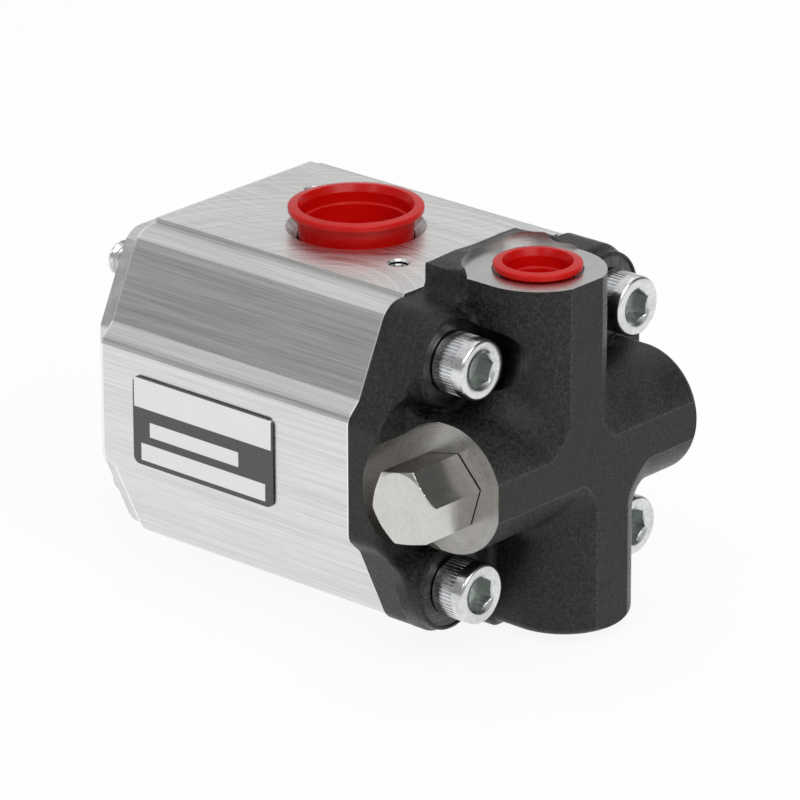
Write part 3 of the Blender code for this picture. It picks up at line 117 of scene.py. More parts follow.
PAD_EDGE_RADIUS = 0.7
PAD_FILLET = 1.2

# Rear cover: bosses, and the fillets between them at the front flat and at the bosses' axes
FRONT_FLAT_Y = -38.7
BOSS_AXIS_Y = -22.4
OUTLET_BOSS_X = -4.6
LOWER_BOSS_X = 6.0
BOSS_RADIUS = 17.3
CROSS_RADIUS = 17.0
CROSS_HALF = 39.6
OUTLET_FACE_Z = 49.0
LOWER_BOTTOM_Z = -47.0
BOSS_EDGE_RADIUS = 2.4
BOSS_FILLET = 2.2
TOP_LEFT_FILLET = (4.4, 9.0)
TOP_RIGHT_FILLET = (2.6, 5.6)
LOW_LEFT_FILLET = (2.7, 5.7)
LOW_RIGHT_FILLET = (5.0, 7.0)
FILLETS_CHANGE_X = 0.7
FILLETS_CHANGE_RUN = 6.0

# Rear cover: machining
MACHINING_STOCK = 0.8
JOINT_STOCK = 1.0
CUT_PAST = 4.0
CUT_SIDE = 70.0
CUT_REAR_Y = -60.0
SCREW_POCKET_RADIUS = 11.0
SCREW_HOLE_RADIUS = 5.5
HEAD_SEAT_Y = -16.1
MILL_X = -5.6
MILL_RADIUS = 18.4
MILL_STEPS = 48
OUTLET_THREAD_RADIUS = 9.3
OUTLET_THREAD_DEPTH = 0.6
OUTLET_COUNTERSINK = 3.3
OUTLET_PASSAGE_RADIUS = 7.4
PLUG_SEAT_X = -38.2
PLUG_SPOT_RADIUS = 17.3
THREAD_RADIUS = 8.7
VALVE_SHOULDER_X = -24.7
VALVE_BORE_RADIUS = 8.0
VALVE_BORE_END_X = 31.2
CORE_RADIUS = 6.7
CORE_BOTTOM_Z = -39.0
INFLOW_RADIUS = 6.0
INFLOW_Z = -31.0
INFLOW_REAR_Y = -23.9
TAPPING_PITCH = 1.5

# Finishes of the rear cover, by their place in its list
CAST, SPOT_FACE, OUTLET_FACE, END_FACE, BORED, FRONT_FLAT, JOINT_FACE = range(7)

# Cap screws
SCREW_UNDERSIDE_Y = -16.4
SCREW_LENGTH = 115.0
SCREW_RADIUS = 4.95
SCREW_THREAD_LENGTH = 22.0
SCREW_THREAD_PITCH = 1.5
SCREW_THREAD_DEPTH = 0.85
HEAD_HEIGHT = 10.0
HEAD_RADIUS = 7.95
HEAD_CROWN = 1.05
COLLAR_RADIUS = 7.7
KNURL_DEPTH = 0.5
KNURL_TOOTH = (0, 0.1, 1, 0.1)
SOCKET_ACROSS_FLATS = 8.0
SOCKET_DEPTH = 5.4
SOCKET_MOUTH_RADIUS = 5.35
FIRST_SCREW_TURN = 8.0
SCREW_TURN_STEP = 11.0

# Plug
PLUG_BACK_X = -38.5
PLUG_FACE_X = -55.7
PLUG_ACROSS_FLATS = 18.5
PLUG_TURN = radians(47.0)
SPIGOT_LENGTH = 13.2
SPIGOT_HOLLOW_RADIUS = 6.6
SPIGOT_HOLLOW_DEPTH = 11.0


# Node trees

# Colour sockets of the Mix node
MIX_FIRST, MIX_SECOND, MIX_RESULT = 6, 7, 2


class Nodes:
    """A node tree, with a short call for each kind of node used below."""

    def __init__(self, tree):
        self.tree = tree

    def add(self, kind):
        return self.tree.nodes.new("ShaderNode" + kind)

    def link(self, source, socket):
        """Feed a socket from another node, or set it where the source is a number or a colour."""
        if isinstance(source, (int, float)):
            socket.default_value = source
        elif isinstance(source, tuple):
            socket.default_value = source if len(source) == len(socket.default_value) else (*source, 1.0)
        else:
            self.tree.links.new(source, socket)

    def math(self, operation, first, second=0.0):
        node = self.add("Math")
        node.operation = operation
        self.link(first, node.inputs[0])
        self.link(second, node.inputs[1])
        return node.outputs[0]

    def remap(self, value, low, high, out_low=0.0, out_high=1.0):
        """A smooth step from one value to another, flat on both sides of it."""
        node = self.add("MapRange")
        node.interpolation_type = "SMOOTHSTEP"
        self.link(value, node.inputs["Value"])
        ends = {"From Min": low, "From Max": high, "To Min": out_low, "To Max": out_high}
        for end, number in ends.items():
            node.inputs[end].default_value = number
        return node.outputs["Result"]

    def mix(self, factor, first, second):
        node = self.add("Mix")
        node.data_type = "RGBA"
        self.link(factor, node.inputs["Factor"])
        self.link(first, node.inputs[MIX_FIRST])
        self.link(second, node.inputs[MIX_SECOND])
        return node.outputs[MIX_RESULT]

    def mix_shaders(self, factor, first, second):
        node = self.add("MixShader")
        for source, socket in zip((factor, first, second), node.inputs):
            self.link(source, socket)
        return node.outputs[0]

    def split(self, vector):
        node = self.add("SeparateXYZ")
        self.link(vector, node.inputs[0])
        return node.outputs


class Paint(Nodes):
    """A material whose patterns are laid out in millimetres."""

    def __init__(self, name):
        self.material = bpy.data.materials.new(name)
        self.material.use_nodes = True
        super().__init__(self.material.node_tree)
        self.shader = self.tree.nodes["Principled BSDF"]
        self.place = self.scaled(self.add("TexCoord").outputs["Object"], (PER_METRE,) * 3)

    def scaled(self, vector, scale, shift=(0, 0, 0)):
        node = self.add("Mapping")
        node.inputs["Scale"].default_value = scale
        node.inputs["Location"].default_value = shift
        self.link(vector, node.inputs["Vector"])
        return node.outputs["Vector"]

    def noise(self, vector, scale, detail=2.0, roughness=0.5):
        """Noise; three numbers as its scale stretch it along the axes."""
        if isinstance(scale, tuple):
            vector = self.scaled(vector, scale)
            scale = 1.0
        node = self.add("TexNoise")
        self.link(vector, node.inputs["Vector"])
        node.inputs["Scale"].default_value = scale
        node.inputs["Detail"].default_value = detail
        node.inputs["Roughness"].default_value = roughness
        return node.outputs["Fac"]

    def weigh(self, first, second, share):
        """A share of the first value, and the rest of it of the second."""
        part = self.math("MULTIPLY", first, share)
        return self.math("ADD", part, self.math("MULTIPLY", second, 1 - share))

    def choose(self, where, inside, outside):
        """The inside value where a mask is one, and the outside value where it is zero."""
        part = self.math("MULTIPLY", where, inside)
        rest = self.math("MULTIPLY", self.math("SUBTRACT", 1.0, where), outside)
        return self.math("ADD", part, rest)

    def ridges(self, along, pitch):
        """Zero to one and back in each pitch."""
        share = self.math("FRACT", self.math("DIVIDE", along, pitch))
        return self.math("ABSOLUTE", self.math("SUBTRACT", self.math("MULTIPLY", share, 2.0), 1.0))

    def join(self, x, y, z):
        node = self.add("CombineXYZ")
        for value, socket in zip((x, y, z), node.inputs):
            self.link(value, socket)
        return node.outputs[0]

    def bump(self, height, distance, strength=1.0, below=None):
        node = self.add("Bump")
        node.inputs["Strength"].default_value = strength
        node.inputs["Distance"].default_value = distance * MM
        self.link(height, node.inputs["Height"])
        if below is not None:
            self.link(below, node.inputs["Normal"])
        return node.outputs["Normal"]

    def within(self, value, low, high, soft=0.05):
        """One between two values, zero outside, with a soft edge."""
        over = self.remap(value, low - soft, low + soft)
        under = self.remap(value, high - soft, high + soft, 1.0, 0.0)
        return self.math("MULTIPLY", over, under)

    def measured_from(self, centre):
        """X, Y and Z from a point of the pump's own axes."""
        shift = tuple(-(c + o) for c, o in zip(centre, ORIGIN))
        return self.split(self.scaled(self.place, (1, 1, 1), shift))

    def from_axis(self, centre, axis):
        """Distance from an axis through a centre in pump millimetres, and the place along it."""
        x, y, z = self.measured_from(centre)
        u, v, along = {"X": (y, z, x), "Y": (x, z, y), "Z": (x, y, z)}[axis]
        squares = self.math("ADD", self.math("POWER", u, 2.0), self.math("POWER", v, 2.0))
        return self.math("SQRT", squares), along

    def finish(self, colour, roughness, metallic=0.0, normal=None, others=()):
        self.link(colour, self.shader.inputs["Base Color"])
        self.link(roughness, self.shader.inputs["Roughness"])
        self.link(metallic, self.shader.inputs["Metallic"])
        if normal is not None:
            self.link(normal, self.shader.inputs["Normal"])
        for name, value in others:
            self.shader.inputs[name].default_value = value
        return self.material


# Finishes

def drawn_side(p):
    """Colour, roughness and relief of the extruded sides, streaked along Y."""
    streak = p.noise(p.place, (1.6, 0.016, 1.6), detail=5.0, roughness=0.68)
    fine = p.noise(p.place, (7.0, 0.07, 7.0), detail=3.0, roughness=0.6)
    cloud = p.noise(p.place, (0.05, 0.02, 0.05), detail=3.0)
    drawn = p.weigh(streak, fine, 0.65)
    colour = p.mix(p.remap(drawn, 0.36, 0.64), (0.60, 0.60, 0.59), (0.82, 0.82, 0.81))
    colour = p.mix(p.remap(cloud, 0.35, 0.7, 0.0, 0.3), colour, (0.78, 0.78, 0.77))
    return colour, p.remap(drawn, 0.3, 0.7, 0.24, 0.36), drawn


def milled_land(p):
    """Colour, roughness and relief of the land, where the arcs of two cutter passes cross."""
    wobble = p.math("MULTIPLY", p.noise(p.place, 0.05), 1.4)
    arcs = []
    for cutter_x, cutter_y, grain in ((-46.0, 20.0, 1.1), (52.0, 74.0, 1.4)):
        radius = p.from_axis((cutter_x, cutter_y, 0), "Z")[0]
        arcs.append(p.noise(p.join(radius, wobble, 0.0), grain, detail=4.0, roughness=0.7))
    milled = p.weigh(arcs[0], arcs[1], 0.5)
    wide = p.noise(p.place, (0.08, 0.03, 0.08), detail=3.0)
    colour = p.mix(p.remap(milled, 0.40, 0.60), (0.74, 0.74, 0.73), (0.90, 0.90, 0.89))
    colour = p.mix(p.remap(wide, 0.4, 0.7, 0.0, 0.4), colour, (0.70, 0.70, 0.70))
    return colour, p.remap(milled, 0.38, 0.62, 0.24, 0.42), milled


def body_threads(p):
    """Where the inlet and the tapped holes are threaded."""
    radius, height = p.from_axis((0, BODY_LENGTH / 2, 0), "Z")
    bored = p.within(radius, *INLET_THREAD_RADII, soft=0.1)
    for way in (-1, 1):
        centre = (way * TAPPED_HOLE_X, BODY_LENGTH / 2 + way * TAPPED_HOLE_RUN, 0)
        hole = p.within(p.from_axis(centre, "Z")[0], -1.0, TAPPED_HOLE_RADIUS)
        bored = p.math("MAXIMUM", bored, hole)
    return p.math("MULTIPLY", bored, p.within(height, BODY_THREAD_FLOOR_Z, LAND_TOP_Z - 0.6, soft=0.1))


def brushed_aluminium():
    """The gear body: drawn sides, milled land, painted highlight lines along both end edges and painted
    shade in the threads.
    """
    p = Paint("brushed_extrusion")
    pump = p.measured_from((0, 0, 0))
    side, side_rough, side_relief = drawn_side(p)
    land, land_rough, land_relief = milled_land(p)
    on_land = p.within(pump["Z"], LAND_TOP_Z - 0.05, LAND_TOP_Z + 1.0, soft=0.03)
    # painted highlight: the colour turns near-white in a half-millimetre band at both ends, standing in for
    # light caught by the end edges
    painted_end_highlight = p.math("SUBTRACT", 1.0, p.within(pump["Y"], 0.5, BODY_LENGTH - 0.5, soft=0.1))
    colour = p.mix(painted_end_highlight, p.mix(on_land, side, land), (0.97, 0.97, 0.96))
    rough = p.choose(on_land, land_rough, side_rough)
    relief = p.choose(on_land, land_relief, side_relief)
    threaded = body_threads(p)
    thread = p.ridges(pump["Z"], BODY_THREAD_PITCH)
    # painted shade: inside the threaded bores the colour is darkened almost to black, lighter and darker by
    # turns along each pitch
    painted_thread_shade = p.math("MULTIPLY", threaded, p.remap(thread, 0.1, 0.9, 0.55, 0.95))
    colour = p.mix(painted_thread_shade, colour, (0.05, 0.05, 0.05))
    normal = p.bump(relief, distance=0.02, strength=0.6)
    normal = p.bump(p.math("MULTIPLY", threaded, thread), distance=0.6, below=normal)
    return p.finish(colour, rough, 1.0, normal)


def plain_metal(name, low, high, rough, grain=1.5, bump=0.01):
    """Metal between two colours, in spots and in wider clouds."""
    p = Paint(name)
    spots = p.noise(p.place, grain, detail=4.0, roughness=0.6)
    wide = p.noise(p.place, grain * 0.12, detail=3.0)
    both = p.weigh(spots, wide, 0.5)
    colour = p.mix(p.remap(both, 0.38, 0.62), low, high)
    return p.finish(colour, p.remap(both, 0.35, 0.65, *rough), 1.0, p.bump(spots, bump, 0.5))


def turned_metal(name, axis, centre, low, high, rough, grain, relief):
    """Machined face with fine rings round an axis through a centre given in pump millimetres."""
    p = Paint(name)
    radius, along = p.from_axis(centre, axis)
    rings = p.noise(p.join(radius, p.math("MULTIPLY", along, 0.4), 0.0), grain, detail=3.0, roughness=0.7)
    blotch = p.noise(p.place, 0.35, detail=3.0)
    tone = p.weigh(rings, blotch, 0.7)
    colour = p.mix(p.remap(tone, 0.35, 0.65), low, high)
    return p.finish(colour, p.remap(tone, 0.3, 0.7, *rough), 1.0, p.bump(rings, relief, 0.5))


def threaded_bore():
    """Dark bore, with the ridges of a thread across an upright axis."""
    p = Paint("bored_iron")
    ridges = p.ridges(p.split(p.place)["Z"], TAPPING_PITCH)
    spots = p.noise(p.place, 1.2, detail=3.0)
    colour = p.mix(p.remap(spots, 0.35, 0.65), (0.10, 0.10, 0.10), (0.20, 0.20, 0.19))
    rough = p.remap(spots, 0.3, 0.7, 0.3, 0.45)
    return p.finish(colour, rough, 0.8, p.bump(ridges, distance=0.25, strength=0.7))


def cast_iron(name, relief, gloss, bead_highlight=None):
    """Black casting skin with a sandy grain; the optional band beside the front flat is a painted highlight
    along that edge.
    """
    p = Paint(name)
    sand = p.noise(p.place, 1.0, detail=5.0, roughness=0.70)
    fine = p.noise(p.place, 3.2, detail=3.0, roughness=0.6)
    wide = p.noise(p.place, 0.07, detail=3.0)
    strength = p.math("ADD", 0.45, p.math("MULTIPLY", p.remap(wide, 0.40, 0.60), 0.55))
    colour = p.mix(p.remap(sand, 0.38, 0.62), (0.003, 0.003, 0.003), (0.011, 0.011, 0.010))
    speck = p.math("MULTIPLY", p.remap(fine, 0.50, 0.62), p.remap(sand, 0.42, 0.58))
    colour = p.mix(p.math("MULTIPLY", speck, strength), colour, (0.060, 0.060, 0.058))
    # painted highlight: a thin band of the skin next to the front flat's edge is made lighter, standing in
    # for light caught by a cast bead there
    if bead_highlight is not None:
        behind_flat = p.measured_from((0, FRONT_FLAT_Y, 0))["Y"]
        edge = p.remap(behind_flat, bead_highlight / 2, bead_highlight, 0.6, 0.0)
        colour = p.mix(p.math("MULTIPLY", edge, p.remap(sand, 0.30, 0.60)), colour, (0.070, 0.070, 0.068))
    coarse = p.bump(p.math("MULTIPLY", sand, strength), relief)
    normal = p.bump(fine, relief * 0.3, below=coarse)
    rough = p.remap(sand, 0.3, 0.7, gloss, gloss + 0.18)
    return p.finish(colour, rough, 0.0, normal, [("Specular IOR Level", 0.33)])


def red_plastic():
    p = Paint("red_moulding")
    wide = p.noise(p.place, 0.06)
    colour = p.mix(p.remap(wide, 0.3, 0.7), (0.50, 0.002, 0.001), (0.56, 0.004, 0.002))
    rough = p.remap(wide, 0.3, 0.7, 0.24, 0.30)
    soft = [("Subsurface Weight", 0.05), ("Subsurface Scale", 0.001), ("Specular IOR Level", 0.22)]
    return p.finish(colour, rough, 0.0, None, soft)


def rubber():
    p = Paint("seal_rubber")
    grain = p.noise(p.place, 2.5, detail=4.0)
    colour = p.mix(grain, (0.012, 0.012, 0.012), (0.028, 0.028, 0.028))
    return p.finish(colour, p.remap(grain, 0.3, 0.7, 0.55, 0.75), 0.0, p.bump(grain, 0.02, 0.5))


def name_film():
    """Blank plate: a white head, a dark field and two empty white boxes to write in."""
    p = Paint("name_film")
    pump = p.measured_from((0, 0, 0))
    pale = 0.0
    for low_y, high_y, low_z, high_z in (
        (25.7, 73.3, 1.3, 9.3),
        (37.0, 67.9, -6.1, -2.1),
        (27.8, 71.0, -13.0, -8.3),
    ):
        across, up = p.within(pump["Y"], low_y, high_y), p.within(pump["Z"], low_z, high_z)
        box = p.math("MULTIPLY", across, up)
        pale = p.math("MAXIMUM", box, pale)
    grain = p.noise(p.place, 0.6, detail=3.0)
    white = p.mix(grain, (0.84, 0.84, 0.83), (0.89, 0.89, 0.88))
    dark = p.mix(grain, (0.055, 0.055, 0.058), (0.085, 0.085, 0.088))
    rough = p.remap(grain, 0.3, 0.7, 0.34, 0.42)
    return p.finish(p.mix(pale, dark, white), rough, 0.0, p.bump(grain, 0.01, 0.3))


MATERIALS = {
    "aluminium": brushed_aluminium(),
    "iron": cast_iron("black_casting", relief=0.5, gloss=0.21, bead_highlight=0.22),
    "flat_iron": cast_iron("black_flat", relief=0.8, gloss=0.30),
    "bore": threaded_bore(),
    "red": red_plastic(),
    "rubber": rubber(),
    "film": name_film(),
    "pale": plain_metal("cover_aluminium", (0.68, 0.68, 0.67), (0.78, 0.78, 0.77), (0.34, 0.46)),
    "steel": plain_metal("hardened_steel", (0.42, 0.42, 0.43), (0.52, 0.52, 0.53), (0.22, 0.34)),
    "bronze": plain_metal("bush_bronze", (0.48, 0.36, 0.19), (0.60, 0.46, 0.27), (0.3, 0.45)),
    "zinc": plain_metal("zinc_plating", (0.58, 0.59, 0.60), (0.76, 0.77, 0.78), (0.15, 0.25), 0.9),
    "milled_iron": plain_metal(
        "milled_iron", (0.24, 0.24, 0.23), (0.32, 0.32, 0.31), (0.36, 0.48), grain=0.8, bump=0.004
    ),
    "socket": plain_metal(
        "socket_steel", (0.46, 0.49, 0.47), (0.54, 0.57, 0.55), (0.36, 0.44), grain=0.5, bump=0.001
    ),
    "plug": plain_metal(
        "plug_steel", (0.58, 0.57, 0.54), (0.66, 0.65, 0.62), (0.20, 0.27), grain=0.9, bump=0.002
    ),
}


# Mesh building

class Shape:
    """Closed shells made of rings; every face carries the number of its material."""

    def __init__(self):
        self.points = []
        self.faces = []
        self.marks = []

    def loft(self, rings, marks=0):
        """Join closed rings of equal length; a ring of one point closes an end."""
        numbers = []
        for ring in rings:
            numbers.append(range(len(self.points), len(self.points) + len(ring)))
            self.points.extend(ring)
        for row, (low, high) in enumerate(zip(numbers, numbers[1:])):
            mark = marks if isinstance(marks, int) else marks[row]
            count = max(len(low), len(high))
            for i in range(count):
                j = (i + 1) % count
                corners = [low[i % len(low)], low[j % len(low)], high[j % len(high)], high[i % len(high)]]
                self.faces.append(list(dict.fromkeys(corners)))
                self.marks.append(mark)
        return self

    def cap(self, ring, mark=0):
        self.faces.append(list(ring))
        self.marks.append(mark)


def place_on_axis(axis, u, v, along):
    return {"X": (along, u, v), "Y": (u, along, v), "Z": (u, v, along)}[axis]


def circle(count, turn=0.0):
    return [turn + 2 * pi * i / count for i in range(count)]


def rings_round(axis, centre, profile, angles):
    """A ring for each radius and place along the axis; a radius may be a rule for each angle."""
    rings = []
    for radius, along in profile:
        ring = []
        for i, angle in enumerate(angles if radius else [0.0]):
            reach = radius(i, angle) if callable(radius) else radius
            point = place_on_axis(axis, reach * cos(angle), reach * sin(angle), along)
            ring.append(tuple(p + c for p, c in zip(point, centre)))
        rings.append(ring)
    return rings


def turned(name, profile, axis, centre, materials, marks=0, facets=96):
    shape = Shape().loft(rings_round(axis, centre, profile, circle(facets)), marks)
    return to_object(name, shape, materials)


def drilled(name, radius, ends, axis, centre, materials, mark, facets):
    """A plain round tool between two places along its axis."""
    profile = [(0, ends[0]), (radius, ends[0]), (radius, ends[1]), (0, ends[1])]
    return turned(name, profile, axis, centre, materials, mark, facets)


def prism(name, outline, axis, start, end, materials, mark=0):
    rings = [[place_on_axis(axis, u, v, along) for u, v in outline] for along in (start, end)]
    shape = Shape().loft(rings, mark)
    count = len(outline)
    for end in (range(count), range(count, 2 * count)):
        shape.cap(end, mark)
    return to_object(name, shape, materials)


def to_object(name, shape, materials, sharp=30.0):
    mesh = bpy.data.meshes.new(name)
    points = (np.array(shape.points, float) + ORIGIN) * MM
    mesh.from_pydata(points.tolist(), [], shape.faces)
    for material in materials:
        mesh.materials.append(material)
    mesh.polygons.foreach_set("material_index", np.array(shape.marks, np.int32))
    fix_normals(mesh)
    mesh.shade_smooth()
    mesh.set_sharp_from_angle(angle=radians(sharp))
    return add_object(name, mesh)


def add_object(name, data):
    piece = bpy.data.objects.new(name, data)
    bpy.context.scene.collection.objects.link(piece)
    return piece


def fix_normals(mesh):
    builder = bmesh.new()
    builder.from_mesh(mesh)
    bmesh.ops.recalc_face_normals(builder, faces=builder.faces)
    builder.to_mesh(mesh)
    builder.free()


def boolean(piece, operation, tools):
    """Apply exact booleans; a cut face keeps the material of its tool."""
    for tool in tools:
        modifier = piece.modifiers.new("cut", "BOOLEAN")
        modifier.operation = operation
        modifier.solver = "EXACT"
        modifier.material_mode = "TRANSFER"
        modifier.object = tool
        graph = bpy.context.evaluated_depsgraph_get()
        made = bpy.data.meshes.new_from_object(piece.evaluated_get(graph))
        piece.modifiers.clear()
        old = piece.data
        piece.data = made
        bpy.data.meshes.remove(old)
        bpy.data.objects.remove(tool, do_unlink=True)


def unit(start, end):
    length = hypot(end[0] - start[0], end[1] - start[1])
    return ((end[0] - start[0]) / length, (end[1] - start[1]) / length)


def rounded_outline(corners, steps=8):
    """Round the corners (first, second, radius) of an outline, or of a profile with plain ends."""
    points = []
    count = len(corners)
    for i in range(count):
        before, here, after = corners[i - 1], corners[i], corners[(i + 1) % count]
        radius = here[2]
        if radius == 0:
            points.append((here[0], here[1]))
            continue
        back, ahead = unit(here, before), unit(here, after)
        between = back[0] * ahead[0] + back[1] * ahead[1]
        half = atan2(sqrt(max(0.0, 1 - between)), sqrt(max(0.0, 1 + between)))
        run = radius / tan(half)
        middle = unit((0, 0), (back[0] + ahead[0], back[1] + ahead[1]))
        centre = (here[0] + middle[0] * radius / sin(half), here[1] + middle[1] * radius / sin(half))
        start = (here[0] + back[0] * run, here[1] + back[1] * run)
        finish = (here[0] + ahead[0] * run, here[1] + ahead[1] * run)
        first = atan2(start[1] - centre[1], start[0] - centre[0])
        last = atan2(finish[1] - centre[1], finish[0] - centre[0])
        sweep = (last - first + pi) % (2 * pi) - pi
        for step in range(steps + 1):
            angle = first + sweep * step / steps
            points.append((centre[0] + radius * cos(angle), centre[1] + radius * sin(angle)))
    return points


# Rear cover casting as a distance field

FAR = 1e9


def round_union(a, b, r):
    return np.maximum(r, np.minimum(a, b)) - np.hypot(np.maximum(r - a, 0), np.maximum(r - b, 0))


def round_meet(a, b, r):
    return np.minimum(-r, np.maximum(a, b)) + np.hypot(np.maximum(r + a, 0), np.maximum(r + b, 0))


def outline_distance(x, z, outline):
    """Signed distance to a closed outline, negative inside."""
    best = np.full(x.shape, FAR)
    inside = np.zeros(x.shape, bool)
    for (x0, z0), (x1, z1) in zip(outline, outline[1:] + outline[:1]):
        dx, dz = x1 - x0, z1 - z0
        share = np.clip(((x - x0) * dx + (z - z0) * dz) / (dx * dx + dz * dz), 0, 1)
        best = np.minimum(best, (x - x0 - share * dx) ** 2 + (z - z0 - share * dz) ** 2)
        crosses = (z0 > z) != (z1 > z)
        if dz != 0:
            inside ^= crosses & (x < x0 + (z - z0) * dx / dz)
    return np.where(inside, -1.0, 1.0) * np.sqrt(best)


class OutlineTable:
    """Distance to an outline, worked out once on a grid and read back between its points."""

    low = -58.0
    step = 0.3
    count = 388

    def __init__(self, outline):
        axis = self.low + self.step * np.arange(self.count)
        x, z = np.meshgrid(axis, axis, indexing="ij")
        self.values = outline_distance(x, z, outline)

    def at(self, x, z):
        last = self.count - 1.001
        u = np.clip((x - self.low) / self.step, 0, last)
        v = np.clip((z - self.low) / self.step, 0, last)
        i, j = u.astype(int), v.astype(int)
        u, v = u - i, v - j
        near = self.values[i, j] * (1 - v) + self.values[i, j + 1] * v
        far = self.values[i + 1, j] * (1 - v) + self.values[i + 1, j + 1] * v
        return near * (1 - u) + far * u


def plate_outline(crest, root_radius):
    """Outline of the plate: the body's profile a little larger, and an ear above and below."""
    slope = (BODY_HALF_HEIGHT - KINK_Z) / (KINK_X - SHOULDER_CORNER_X)
    half = BODY_HALF_WIDTH + PLATE_OVERHANG
    kink_x = KINK_X + PLATE_OVERHANG
    corners = []
    for sx, sz in ((1, 1), (1, -1), (-1, -1), (-1, 1)):
        top = BODY_HALF_HEIGHT + (PLATE_RISE if sz > 0 else PLATE_OVERHANG)
        run = [
            (kink_x - (top - KINK_Z) / slope, top, SHOULDER_RADIUS),
            (kink_x, KINK_Z, KINK_RADIUS),
            (half, KINK_Z - (half - kink_x), SIDE_CORNER_RADIUS),
        ]
        run = [(sx * x, sz * z, r) for x, z, r in run]
        if sz > 0:
            root = (crest[-1 if sx > 0 else 0][0], top, root_radius)
            ear = [*crest[2:], root] if sx > 0 else [*crest[1::-1], root]
        else:
            side = LOWER_BOSS_X + sx * LOWER_EAR_HALF
            ear = [(side, LOWER_EAR_BOTTOM_Z, LOWER_EAR_RADIUS), (side, -top, LOWER_EAR_ROOT_RADIUS)]
        corners += ear + run if sx * sz > 0 else reversed(ear + run)
    return rounded_outline(corners)


# Upper ear, from left to right: X, Z and radius of each corner
EAR_AT_JOINT = [
    (-17.4, 48.3, 0.8),
    (-10.5, 49.2, 1.5),
    (-3.0, 47.7, 2.0),
    (3.0, 48.2, 2.0),
    (6.6, 48.7, 2.0),
    (12.4, 48.2, 1.5),
]
EAR_AT_REAR = [
    (-22.4, 51.4, 0.8),
    (-10.5, 51.9, 1.5),
    (-3.0, 54.0, 2.0),
    (3.0, 56.3, 2.0),
    (6.6, 54.9, 2.0),
    (13.1, 50.2, 1.5),
]
JOINT_SIDE = OutlineTable(plate_outline(EAR_AT_JOINT, root_radius=1.0))
REAR_SIDE = OutlineTable(plate_outline(EAR_AT_REAR, root_radius=4.0))


def plate_field(x, y, z):
    """The plate with its ears, thinner at the waist and bevelled at its foot."""
    share = np.clip((y - PLATE_REAR_Y) / (PLATE_FRONT_Y - PLATE_REAR_Y), 0, 1)
    side = REAR_SIDE.at(x, z) * (1 - share) + JOINT_SIDE.at(x, z) * share
    waist = np.clip((np.abs(z) - WAIST_HALF) / WAIST_FADE, 0, 1)
    waist = waist * waist * (3 - 2 * waist)
    rear = (WAIST_REAR_Y + (PLATE_REAR_Y - WAIST_REAR_Y) * waist) - y
    plate = round_meet(side, rear, PLATE_EDGE_RADIUS)
    slope = FOOT_RISE / FOOT_RUN
    foot = -z + LOWER_EAR_BOTTOM_Z + FOOT_RISE + (y - PLATE_FRONT_Y) * slope
    plate = round_meet(plate, foot / sqrt(1 + slope * slope), FOOT_EDGE_RADIUS)
    return np.maximum(plate, z - CREST_TOP_Z)


def pad_field(x, y, z):
    """The four pads that carry the screw heads."""
    radius = np.minimum(PAD_RADIUS + (y - PLATE_REAR_Y) * PAD_DRAFT, PAD_RADIUS)
    pads = np.full(x.shape, FAR)
    for pad_x, pad_z in BOLT_PLACES:
        pad = np.hypot(x - pad_x, z - pad_z) - radius
        pad = round_meet(pad, PAD_REAR_Y - y, PAD_EDGE_RADIUS)
        pads = np.minimum(pads, np.maximum(pad, y - PAD_ROOT_Y))
    return pads


def boss_field(x, y, z):
    """The outlet boss, the lower boss and the cross boss, joined by fillets that widen inwards."""
    behind = np.maximum(BOSS_AXIS_Y - y, 0)
    upper = np.hypot(x - OUTLET_BOSS_X, behind) - BOSS_RADIUS
    upper = np.maximum(np.maximum(upper, -z), z - OUTLET_FACE_Z - MACHINING_STOCK)
    lower = np.hypot(x - LOWER_BOSS_X, behind) - BOSS_RADIUS
    lower = np.maximum(round_meet(lower, LOWER_BOTTOM_Z - z, BOSS_EDGE_RADIUS), z)
    cross = np.hypot(z, behind) - CROSS_RADIUS
    cross = round_meet(cross, x - CROSS_HALF, BOSS_EDGE_RADIUS)
    cross = np.maximum(cross, PLUG_SEAT_X - MACHINING_STOCK - x)
    depth = np.clip((y - FRONT_FLAT_Y) / (BOSS_AXIS_Y - FRONT_FLAT_Y), 0, 1)
    right = 0.5 + 0.5 * np.tanh((x - FILLETS_CHANGE_X) / FILLETS_CHANGE_RUN)

    def fillet(on_left, on_right):
        radii = [at_flat + (at_axis - at_flat) * depth for at_flat, at_axis in (on_left, on_right)]
        return radii[0] * (1 - right) + radii[1] * right

    bosses = round_union(upper, cross, fillet(TOP_LEFT_FILLET, TOP_RIGHT_FILLET))
    bosses = round_union(bosses, lower, fillet(LOW_LEFT_FILLET, LOW_RIGHT_FILLET))
    return np.maximum(bosses, y - PLATE_FRONT_Y - 2 * JOINT_STOCK)


def cover_field(points):
    """Distance to the cast skin of the rear cover; the machined faces are cut afterwards."""
    x, y, z = points[:, 0], points[:, 1], points[:, 2]
    solid = round_union(plate_field(x, y, z), pad_field(x, y, z), PAD_FILLET)
    solid = round_union(solid, boss_field(x, y, z), BOSS_FILLET)
    return np.maximum(solid, y - PLATE_FRONT_Y - JOINT_STOCK)


def field_slope(field, points, step=0.02):
    slope = np.empty_like(points)
    for axis in range(3):
        shift = np.zeros(3)
        shift[axis] = step
        slope[:, axis] = (field(points + shift) - field(points - shift)) / (2 * step)
    return slope


